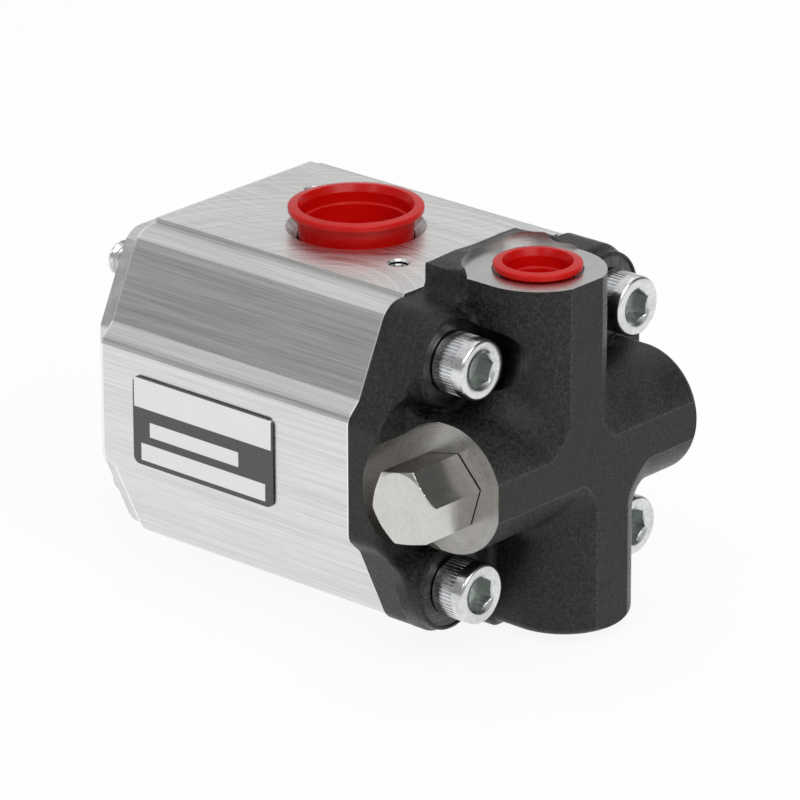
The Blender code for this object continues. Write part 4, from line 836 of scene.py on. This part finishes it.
def skin(field, low, high, cell):
    """Closed quad mesh on the zero level of a field, by averaging the crossings of each cell."""
    low = np.array(low, float)
    counts = np.ceil((np.array(high, float) - low) / cell).astype(int) + 1
    axes = [low[i] + cell * np.arange(counts[i]) for i in range(3)]
    values = np.empty(tuple(counts))
    flat_y, flat_z = np.meshgrid(axes[1], axes[2], indexing="ij")
    for i, x in enumerate(axes[0]):
        plane = np.column_stack([np.full(flat_y.size, x), flat_y.ravel(), flat_z.ravel()])
        values[i] = field(plane).reshape(flat_y.shape)
    inside = values < 0
    total = np.zeros((*(counts - 1), 3))
    hits = np.zeros(tuple(counts - 1))
    crossings = []
    for axis in range(3):
        lower = [slice(None)] * 3
        upper = [slice(None)] * 3
        lower[axis] = slice(0, -1)
        upper[axis] = slice(1, None)
        a, b = values[tuple(lower)], values[tuple(upper)]
        found = np.argwhere(inside[tuple(lower)] != inside[tuple(upper)])
        va, vb = a[tuple(found.T)], b[tuple(found.T)]
        spot = found.astype(float)
        spot[:, axis] += va / (va - vb)
        others = [i for i in range(3) if i != axis]
        cells = []
        for du, dv in ((-1, -1), (0, -1), (0, 0), (-1, 0)):
            cell_at = found.copy()
            cell_at[:, others[0]] += du
            cell_at[:, others[1]] += dv
            cells.append(cell_at)
            good = np.all((cell_at >= 0) & (cell_at < counts - 1), axis=1)
            where = tuple(cell_at[good].T)
            np.add.at(hits, where, 1)
            np.add.at(total, where, spot[good])
        flip = (va < vb) != (axis == 1)
        crossings.append((cells, flip))
    used = hits > 0
    number = np.full(hits.shape, -1)
    number[used] = np.arange(used.sum())
    points = low + cell * total[used] / hits[used][:, None]
    faces = []
    for cells, flip in crossings:
        corners = np.stack([number[tuple(c.T)] for c in cells], axis=1)
        corners[~flip] = corners[~flip][:, ::-1]
        faces.append(corners)
    return settle(field, points, 0.4 * cell), np.concatenate(faces)


def settle(field, points, reach):
    """Move points onto the zero level in three steps, none longer than reach on any axis."""
    for _ in range(3):
        slope = field_slope(field, points)
        size = np.maximum(np.sum(slope * slope, axis=1), 0.2)
        move = slope * (field(points) / size)[:, None]
        points = points - np.clip(move, -reach, reach)
    return points


def read(rows, key, width=1, kind=np.int32):
    """One property of all rows of a mesh, as an array."""
    values = np.empty(len(rows) * width, kind)
    rows.foreach_get(key, values)
    return values.reshape(-1, width) if width > 1 else values


def shade_by_field(piece, field):
    """Cast faces take their normals from the field, and the milled flat stays a true plane."""
    mesh = piece.data
    mesh.shade_smooth()
    mesh.set_sharp_from_angle(angle=radians(32))
    places = read(mesh.vertices, "co", 3, float) * PER_METRE - ORIGIN
    slope = field_slope(field, places, step=0.15)
    slope /= np.maximum(np.linalg.norm(slope, axis=1), 1e-9)[:, None]
    normals = read(mesh.corner_normals, "vector", 3, np.float32)
    marks = read(mesh.polygons, "material_index")
    sizes = read(mesh.polygons, "loop_total")
    cast = np.repeat(marks == CAST, sizes)
    normals[cast] = slope[read(mesh.loops, "vertex_index")[cast]]
    normals[np.repeat(marks == FRONT_FLAT, sizes)] = (0.0, -1.0, 0.0)
    mesh.normals_split_custom_set(normals.tolist())


# Machining of the rear cover

def cover_finishes():
    """The cover's materials, in the order of CAST to JOINT_FACE."""
    return [
        MATERIALS["iron"],
        turned_metal(
            "spot_face_iron", "Y", (BOLT_PLACES[0][0], 0, BOLT_PLACES[0][1]),
            (0.05, 0.05, 0.05), (0.12, 0.12, 0.12), rough=(0.26, 0.4), grain=2.2, relief=0.015,
        ),
        turned_metal(
            "outlet_face_iron", "Z", (OUTLET_BOSS_X, BOSS_AXIS_Y, 0),
            (0.54, 0.54, 0.53), (0.64, 0.64, 0.63), rough=(0.26, 0.32), grain=5.0, relief=0.002,
        ),
        turned_metal(
            "end_face_iron", "X", (0, BOSS_AXIS_Y, 0),
            (0.31, 0.30, 0.29), (0.42, 0.41, 0.39), rough=(0.24, 0.32), grain=3.0, relief=0.004,
        ),
        MATERIALS["bore"],
        MATERIALS["flat_iron"],
        MATERIALS["milled_iron"],
    ]


def screw_tools(finishes):
    """A pocket for each screw head, with its hole."""
    profile = [(0, CUT_REAR_Y), (SCREW_POCKET_RADIUS, CUT_REAR_Y), (SCREW_POCKET_RADIUS, HEAD_SEAT_Y)]
    profile += [(SCREW_HOLE_RADIUS, HEAD_SEAT_Y), (SCREW_HOLE_RADIUS, CUT_PAST), (0, CUT_PAST)]
    marks = [SPOT_FACE] * 3 + [BORED] * 2
    tools = []
    for i, (x, z) in enumerate(BOLT_PLACES):
        tools.append(turned(f"spot_{i}", profile, "Y", (x, 0, z), finishes, marks, 72))
    return tools


def mill_tool(finishes):
    """The pocket that is milled round the outlet: half round in front, open to the rear."""
    angles = [pi * i / MILL_STEPS for i in range(MILL_STEPS + 1)]
    outline = [(MILL_X + MILL_RADIUS * cos(a), BOSS_AXIS_Y + MILL_RADIUS * sin(a)) for a in angles]
    outline += [(MILL_X - MILL_RADIUS, CUT_REAR_Y), (MILL_X + MILL_RADIUS, CUT_REAR_Y)]
    return prism("mill", outline, "Z", OUTLET_FACE_Z, CUT_SIDE, finishes, OUTLET_FACE)


def outlet_tool(finishes):
    """The outlet port: countersink, thread ridges, and the narrower passage below."""
    thread = OUTLET_THREAD_RADIUS
    mouth = OUTLET_FACE_Z + 1.0
    profile = [(0, mouth), (thread + OUTLET_COUNTERSINK, mouth)]
    along = mouth - OUTLET_COUNTERSINK
    thread_end = OUTLET_FACE_Z - 14.0
    while along - thread_end > TAPPING_PITCH:
        profile += [(thread, along), (thread + OUTLET_THREAD_DEPTH, along - TAPPING_PITCH / 2)]
        along -= TAPPING_PITCH
    profile += [(thread, thread_end - 1.0), (OUTLET_PASSAGE_RADIUS, thread_end - 2.0)]
    profile += [(OUTLET_PASSAGE_RADIUS, 0), (0, 0)]
    marks = [OUTLET_FACE] * 2 + [BORED] * (len(profile) - 3)
    return turned("outlet", profile, "Z", (OUTLET_BOSS_X, BOSS_AXIS_Y, 0), finishes, marks, 72)


def valve_tool(finishes):
    """The stepped bore from side to side, which holds the plug, spring and spool."""
    start = PLUG_SEAT_X + 0.5
    countersink = 1.5
    profile = [
        (0, start - countersink),
        (THREAD_RADIUS + countersink, start - countersink),
        (THREAD_RADIUS, start),
        (THREAD_RADIUS, VALVE_SHOULDER_X),
        (VALVE_BORE_RADIUS, VALVE_SHOULDER_X),
        (VALVE_BORE_RADIUS, VALVE_BORE_END_X),
        (0, VALVE_BORE_END_X),
    ]
    return turned("valve", profile, "X", (0, BOSS_AXIS_Y, 0), finishes, BORED, 48)


def rear_cover():
    """The casting, with its machined faces and bores cut by one joined tool."""
    cell = 0.55
    points, faces = skin(cover_field, low=(-53, -42, -51), high=(53, 1.5, 54), cell=cell)
    mesh = bpy.data.meshes.new("rear_cover_casting")
    halves = np.concatenate([faces[:, [0, 1, 2]], faces[:, [0, 2, 3]]])
    mesh.from_pydata(((points + ORIGIN) * MM).tolist(), [], halves.tolist())
    cover = add_object("rear_cover_casting", mesh)
    finishes = cover_finishes()
    for finish in finishes:
        mesh.materials.append(finish)
    plug_axis = (0, BOSS_AXIS_Y, 0)
    lower_axis = (LOWER_BOSS_X, BOSS_AXIS_Y, 0)
    plug_spot = (-CUT_SIDE, PLUG_SEAT_X)
    core = (CORE_BOTTOM_Z, 0)
    inflow = (INFLOW_REAR_Y, CUT_PAST)
    face = [(-CUT_SIDE, -CUT_SIDE), (CUT_SIDE, -CUT_SIDE), (CUT_SIDE, CUT_SIDE), (-CUT_SIDE, CUT_SIDE)]
    first, *others = [
        *screw_tools(finishes),
        mill_tool(finishes),
        drilled("plug_spot", PLUG_SPOT_RADIUS, plug_spot, "X", plug_axis, finishes, END_FACE, 120),
        outlet_tool(finishes),
        valve_tool(finishes),
        drilled("core", CORE_RADIUS, core, "Z", lower_axis, finishes, BORED, 36),
        drilled("inflow", INFLOW_RADIUS, inflow, "Y", (0, 0, INFLOW_Z), finishes, BORED, 40),
        prism("joint_face", face, "Y", PLATE_FRONT_Y, CUT_PAST + 2, finishes, JOINT_FACE),
        prism("front_flat", face, "Y", CUT_REAR_Y - 20, FRONT_FLAT_Y, finishes, FRONT_FLAT),
    ]
    boolean(first, "UNION", others)
    boolean(cover, "DIFFERENCE", [first])
    shade_by_field(cover, cover_field)
    return cover


# Screws, plug, caps and spring

def hexagon_radius(angle, across_flats, turn):
    within = (angle - turn) % (pi / 3) - pi / 6
    return across_flats / 2 / cos(within)


def cap_screw(name, x, z, turn):
    """Socket head cap screw with a knurled head, a hexagon socket and a threaded end."""
    underside = SCREW_UNDERSIDE_Y
    face = underside - HEAD_HEIGHT
    tip = underside + SCREW_LENGTH
    thread_start = tip - SCREW_THREAD_LENGTH
    thread_step = SCREW_THREAD_PITCH / 6

    def socket(i, angle):
        return hexagon_radius(angle, SOCKET_ACROSS_FLATS, turn)

    def socket_floor(i, angle):
        return 0.55 * socket(i, angle)

    def countersink(depth):
        return lambda i, angle: max(socket(i, angle), SOCKET_MOUTH_RADIUS - 1.5 * depth)

    def knurl(i, angle):
        return HEAD_RADIUS - KNURL_DEPTH * KNURL_TOOTH[i % len(KNURL_TOOTH)]

    def thread(along, fade):
        chamfer = 0.5 * (1 - fade) if along > tip - 3 else 0.0

        def radius(i, angle):
            phase = (along / SCREW_THREAD_PITCH - angle / (2 * pi)) % 1.0
            return SCREW_RADIUS - SCREW_THREAD_DEPTH * fade * abs(2 * phase - 1) - chamfer

        return radius

    profile = [(0, face + SOCKET_DEPTH + 1.2), (socket_floor, face + SOCKET_DEPTH + 0.1)]
    profile.append((socket, face + SOCKET_DEPTH))
    profile += [(countersink(depth), face + depth) for depth in (0.95, 0.8, 0.65, 0.5, 0.35, 0.2, 0.0)]
    profile.append((HEAD_RADIUS - 1.2, face))
    for step in range(7):
        bend = pi / 2 * step / 6
        profile.append((HEAD_RADIUS - 1.0 + 0.95 * sin(bend), face + HEAD_CROWN * (1 - cos(bend))))
    profile += [
        (HEAD_RADIUS - 0.03, face + 3.4),
        (knurl, face + 3.5),
        (knurl, underside - 1.0),
        (COLLAR_RADIUS, underside - 0.7),
        (COLLAR_RADIUS, underside - 0.1),
        (COLLAR_RADIUS - 0.1, underside),
        (SCREW_RADIUS + 0.45, underside),
        (SCREW_RADIUS, underside + 0.5),
        (SCREW_RADIUS, thread_start),
    ]
    for step in range(1, int((tip - 1.0 - thread_start) / thread_step) + 1):
        along = thread_start + step * thread_step
        fade = min(1.0, step / 12, (tip - 0.5 - along) / 1.5)
        profile.append((thread(along, fade), along))
    profile += [(SCREW_RADIUS - 1.25, tip), (0, tip)]
    marks = [1] * 5 + [0] * (len(profile) - 6)
    shape = Shape().loft(rings_round("Y", (x, 0, z), profile, circle(192, turn)), marks)
    return to_object(name, shape, [MATERIALS["zinc"], MATERIALS["socket"]], 35)


def valve_plug():
    """Hexagon plug: chamfered outer end, flat flanks, hollow threaded spigot."""
    inscribed = PLUG_ACROSS_FLATS / 2

    def hexagon(limit):
        return lambda i, angle: min(hexagon_radius(angle, PLUG_ACROSS_FLATS, PLUG_TURN), limit)

    profile = [(0, PLUG_FACE_X), (5.0, PLUG_FACE_X), (inscribed - 0.2, PLUG_FACE_X)]
    for step in range(9):
        share = step / 8
        profile.append((hexagon(inscribed + 1.5 * share), PLUG_FACE_X + 0.05 + 0.75 * share))
    spigot = THREAD_RADIUS - 0.3
    spigot_end = PLUG_SEAT_X + SPIGOT_LENGTH
    floor_x = spigot_end - SPIGOT_HOLLOW_DEPTH
    profile += [
        (hexagon(PLUG_ACROSS_FLATS), PLUG_BACK_X),
        (spigot - 1.2, PLUG_BACK_X),
        (spigot - 1.2, PLUG_SEAT_X + 1.5),
        (spigot, PLUG_SEAT_X + 1.5),
        (spigot, spigot_end),
        (SPIGOT_HOLLOW_RADIUS, spigot_end),
        (SPIGOT_HOLLOW_RADIUS, floor_x),
        (0, floor_x),
    ]
    shape = Shape().loft(rings_round("X", (0, BOSS_AXIS_Y, 0), profile, circle(144, PLUG_TURN)))
    return to_object("valve_plug_steel", shape, [MATERIALS["plug"]], 25)


# Sections of the caps: radius, height above the port's face and corner radius
INLET_CAP_SECTION = [
    (0, -11.0, 0),
    (14.3, -11.0, 0.4),
    (15.0, 0.0, 0.4),
    (15.0, 4.2, 0.3),
    (17.5, 4.25, 0.25),
    (17.6, 5.75, 0.45),
    (15.1, 6.1, 0.35),
    (14.15, 4.2, 0.3),
    (13.9, 1.5, 0.2),
    (13.35, 1.2, 0.2),
    (12.65, -10.1, 0.5),
    (0, -10.1, 0),
]
OUTLET_CAP_SECTION = [
    (0, -9.0, 0),
    (8.3, -9.0, 0.4),
    (9.0, 0.0, 0.3),
    (9.0, 0.3, 0.0),
    (11.25, 0.35, 0.25),
    (11.35, 1.85, 0.45),
    (9.0, 2.2, 0.35),
    (8.15, 0.3, 0.25),
    (7.85, -2.4, 0.2),
    (7.35, -2.7, 0.2),
    (6.65, -8.1, 0.4),
    (0, -8.1, 0),
]


def port_cap(name, centre, section):
    return turned(name, rounded_outline(section, steps=5), "Z", centre, [MATERIALS["red"]])


def spool_spring():
    """Compression spring with closed ends, which fills the box of its plain solid."""
    corners = np.array([tuple(corner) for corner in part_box("spool_spring")]) * PER_METRE - ORIGIN
    low, high = corners.tolist()
    wire = 0.75
    turns = 5
    steps = 40 * turns
    sides = 14
    closing = 0.6
    mean_radius = (high[2] - low[2]) / 2 - wire
    travel = high[0] - low[0] - 2 * wire
    rings = []
    for step in range(steps + 1):
        share = step / steps
        angle = 2 * pi * turns * share
        slow = closing * sin(4 * pi * share) / (4 * pi) + (1 - closing) * sin(2 * pi * share) / (2 * pi)
        pace = 1 - closing * cos(4 * pi * share) - (1 - closing) * cos(2 * pi * share)
        outward = Vector((0, cos(angle), sin(angle)))
        around = Vector((0, -sin(angle), cos(angle)))
        along = Vector((travel * pace / (2 * pi * turns), 0, 0))
        centre = Vector((low[0] + wire + travel * (share - slow), BOSS_AXIS_Y, 0)) + mean_radius * outward
        beside = (along + mean_radius * around).normalized().cross(outward)
        rings.append([tuple(centre + wire * (cos(a) * outward + sin(a) * beside)) for a in circle(sides)])
    shape = Shape().loft(rings)
    shape.cap(range(sides))
    shape.cap(range(sides * steps, sides * (steps + 1)))
    return to_object("spool_spring_coil", shape, [MATERIALS["steel"]], 50)


# The parts of the pump

def place(piece, body, slot, *nodes):
    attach(piece, body)
    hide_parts(*nodes)
    return piece


place(rear_cover(), "housing", "black_cast_iron", "rear_cover")
for index, (bolt_x, bolt_z) in enumerate(BOLT_PLACES):
    turn = radians(FIRST_SCREW_TURN + SCREW_TURN_STEP * index)
    screw = cap_screw(f"cap_screw_zinc_{index + 1}", bolt_x, bolt_z, turn)
    place(screw, "housing", "zinc_steel", f"cap_screw_{index + 1}")
place(valve_plug(), "housing", "zinc_steel", "valve_plug")

for port, centre, section in (
    ("inlet", (0, BODY_LENGTH / 2, LAND_TOP_Z), INLET_CAP_SECTION),
    ("outlet", (OUTLET_BOSS_X, BOSS_AXIS_Y, OUTLET_FACE_Z), OUTLET_CAP_SECTION),
):
    cap = port_cap(f"{port}_cap_moulding", centre, section)
    place(cap, f"{port}_port_cap", "red_plastic", f"{port}_cap")

spring = place(spool_spring(), "housing", "gear_steel", "spool_spring")
for joint in frame["record"]["behaviour"]["joints"]:
    if joint["name"] == "valve_spool_slide":
        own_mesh(spring)

# Finish of each CAD node that stays, by how its name starts
CAD_FINISHES = {
    "aluminium": ("gear_body",),
    "pale": ("front_cover", "bearing_block"),
    "steel": ("drive_gear", "driven_gear", "seal_circlip", "dowel_pin", "valve_spool"),
    "bronze": ("bush",),
    "rubber": ("body_seal", "outlet_passage_seal", "axial_seal", "shaft_seal", "plug_seal"),
    "film": ("name_plate",),
}
for node_name, node in frame["nodes"].items():
    for finish, name_starts in CAD_FINISHES.items():
        if node_name.startswith(name_starts):
            for slot in node.material_slots:
                slot.link = "OBJECT"
                slot.material = MATERIALS[finish]


# Floor, light and camera, in metres

FLOOR_LEVEL = -0.0002
FLOOR_HALF = 30.0
FLOOR_COLOUR = (0.95, 0.95, 0.95)
FLOOR_GLOW = 0.90

# Colour of the studio from straight below to straight above
STUDIO_BELOW = (0.62, 0.62, 0.62, 1)
STUDIO_BETWEEN = [(0.25, 0.42), (0.5, 0.50), (0.7, 0.80)]
STUDIO_ABOVE = (0.80, 0.80, 0.81, 1)

# Flags of the studio: the way to each, the cosines where it is whole and where it ends, and its tone
STUDIO_FLAGS = [
    ((-0.725, 0.623, 0.22), 0.98, 0.86, 0.34),
    ((0.694, -0.405, 0.596), 0.97, 0.80, 0.10),
    ((0.694, 0.623, 0.36), 0.96, 0.78, 0.62),
]

# Lamps: name, place, side of the square and power
LAMPS = [
    ("key", (-0.45, -1.2, 1.35), 1.2, 14.0),
    ("fill", (0.9, 0.2, 1.5), 1.5, 3.0),
    ("edge", (-1.3, -0.1, 1.1), 0.35, 1.5),
]
LAMP_TARGET = (0, 0, 0.05)

# The photograph's view, found by fitting the pump's known corners to the picture
VIEW_AZIMUTH = radians(48.226)
VIEW_ELEVATION = radians(21.308)
VIEW_ROLL = radians(-0.164)
VIEW_RIGHT = -20.764 * MM
VIEW_UP = 6.227 * MM
VIEW_DISTANCE = 1603.8 * MM
FOCAL_PIXELS = 6310.6
PHOTO_PIXELS = 800
SENSOR_WIDTH = 36


def backdrop_material():
    """White to the camera where it is lit, dark enough under the part for a shadow, clear from below."""
    material = bpy.data.materials.new("pale_floor")
    material.use_nodes = True
    nodes = Nodes(material.node_tree)
    nodes.tree.nodes.clear()
    diffuse = nodes.add("BsdfDiffuse")
    nodes.link(FLOOR_COLOUR, diffuse.inputs["Color"])
    glow = nodes.add("Emission")
    nodes.link((1, 1, 1), glow.inputs["Color"])
    rays = nodes.add("LightPath")
    seen = nodes.math("MAXIMUM", rays.outputs["Is Camera Ray"], rays.outputs["Is Glossy Ray"])
    glowing = nodes.math("MULTIPLY", seen, FLOOR_GLOW)
    above = nodes.mix_shaders(glowing, diffuse.outputs[0], glow.outputs[0])
    below = nodes.add("BsdfTransparent").outputs[0]
    both = nodes.mix_shaders(nodes.add("NewGeometry").outputs["Backfacing"], above, below)
    nodes.link(both, nodes.add("OutputMaterial").inputs["Surface"])
    return material


def floor():
    half = FLOOR_HALF
    mesh = bpy.data.meshes.new("floor")
    corners = [(x, y, FLOOR_LEVEL) for x, y in ((-half, -half), (half, -half), (half, half), (-half, half))]
    mesh.from_pydata(corners, [], [(0, 1, 2, 3)])
    mesh.materials.append(backdrop_material())
    add_object("floor", mesh)


def world():
    """Studio round the pump: pale overhead, with flags that shape the metal."""
    made = bpy.data.worlds.new("studio")
    bpy.context.scene.world = made
    made.use_nodes = True
    nodes = Nodes(made.node_tree)
    nodes.tree.nodes.clear()
    direction = nodes.add("TexCoord").outputs["Generated"]
    ramp = nodes.add("ValToRGB")
    stops = ramp.color_ramp.elements
    stops[0].color = STUDIO_BELOW
    stops[1].color = STUDIO_ABOVE
    for position, tone in STUDIO_BETWEEN:
        stops.new(position).color = (tone, tone, tone, 1)
    nodes.link(nodes.split(direction)["Z"], ramp.inputs[0])
    level = ramp.outputs[0]
    for towards, whole, end, tone in STUDIO_FLAGS:
        facing = nodes.add("VectorMath")
        facing.operation = "DOT_PRODUCT"
        nodes.link(direction, facing.inputs[0])
        nodes.link(tuple(Vector(towards).normalized()), facing.inputs[1])
        level = nodes.mix(nodes.remap(facing.outputs["Value"], end, whole), level, (tone, tone, tone))
    studio = nodes.add("Background")
    nodes.link(level, studio.inputs["Color"])
    plain = nodes.add("Background")
    nodes.link((0.8, 0.8, 0.8), plain.inputs["Color"])
    seen = nodes.add("LightPath").outputs["Is Camera Ray"]
    both = nodes.mix_shaders(seen, studio.outputs[0], plain.outputs[0])
    nodes.link(both, nodes.add("OutputWorld").inputs["Surface"])


def lamp(name, place_at, side, power):
    light = bpy.data.lights.new(name, "AREA")
    light.shape = "SQUARE"
    light.size = side
    light.energy = power
    piece = add_object(name, light)
    piece.location = place_at
    piece.rotation_euler = (Vector(LAMP_TARGET) - Vector(place_at)).to_track_quat("-Z", "Y").to_euler()


def camera():
    flat = cos(VIEW_ELEVATION)
    back = Vector((-sin(VIEW_AZIMUTH) * flat, -cos(VIEW_AZIMUTH) * flat, sin(VIEW_ELEVATION)))
    level = (-back).cross(Vector((0, 0, 1))).normalized()
    upright = level.cross(-back)
    right = cos(VIEW_ROLL) * level + sin(VIEW_ROLL) * upright
    up = -sin(VIEW_ROLL) * level + cos(VIEW_ROLL) * upright
    data = bpy.data.cameras.new("camera")
    data.sensor_width = SENSOR_WIDTH
    data.lens = FOCAL_PIXELS / PHOTO_PIXELS * SENSOR_WIDTH
    data.clip_start = 0.01
    matrix = Matrix((right, up, back)).transposed().to_4x4()
    matrix.translation = right * VIEW_RIGHT + up * VIEW_UP + back * VIEW_DISTANCE + Vector(ORIGIN) * MM
    piece = add_object("camera", data)
    piece.matrix_world = matrix
    bpy.context.scene.camera = piece


floor()
world()
for settings in LAMPS:
    lamp(*settings)
camera()

bpy.context.scene.view_settings.view_transform = "Standard"
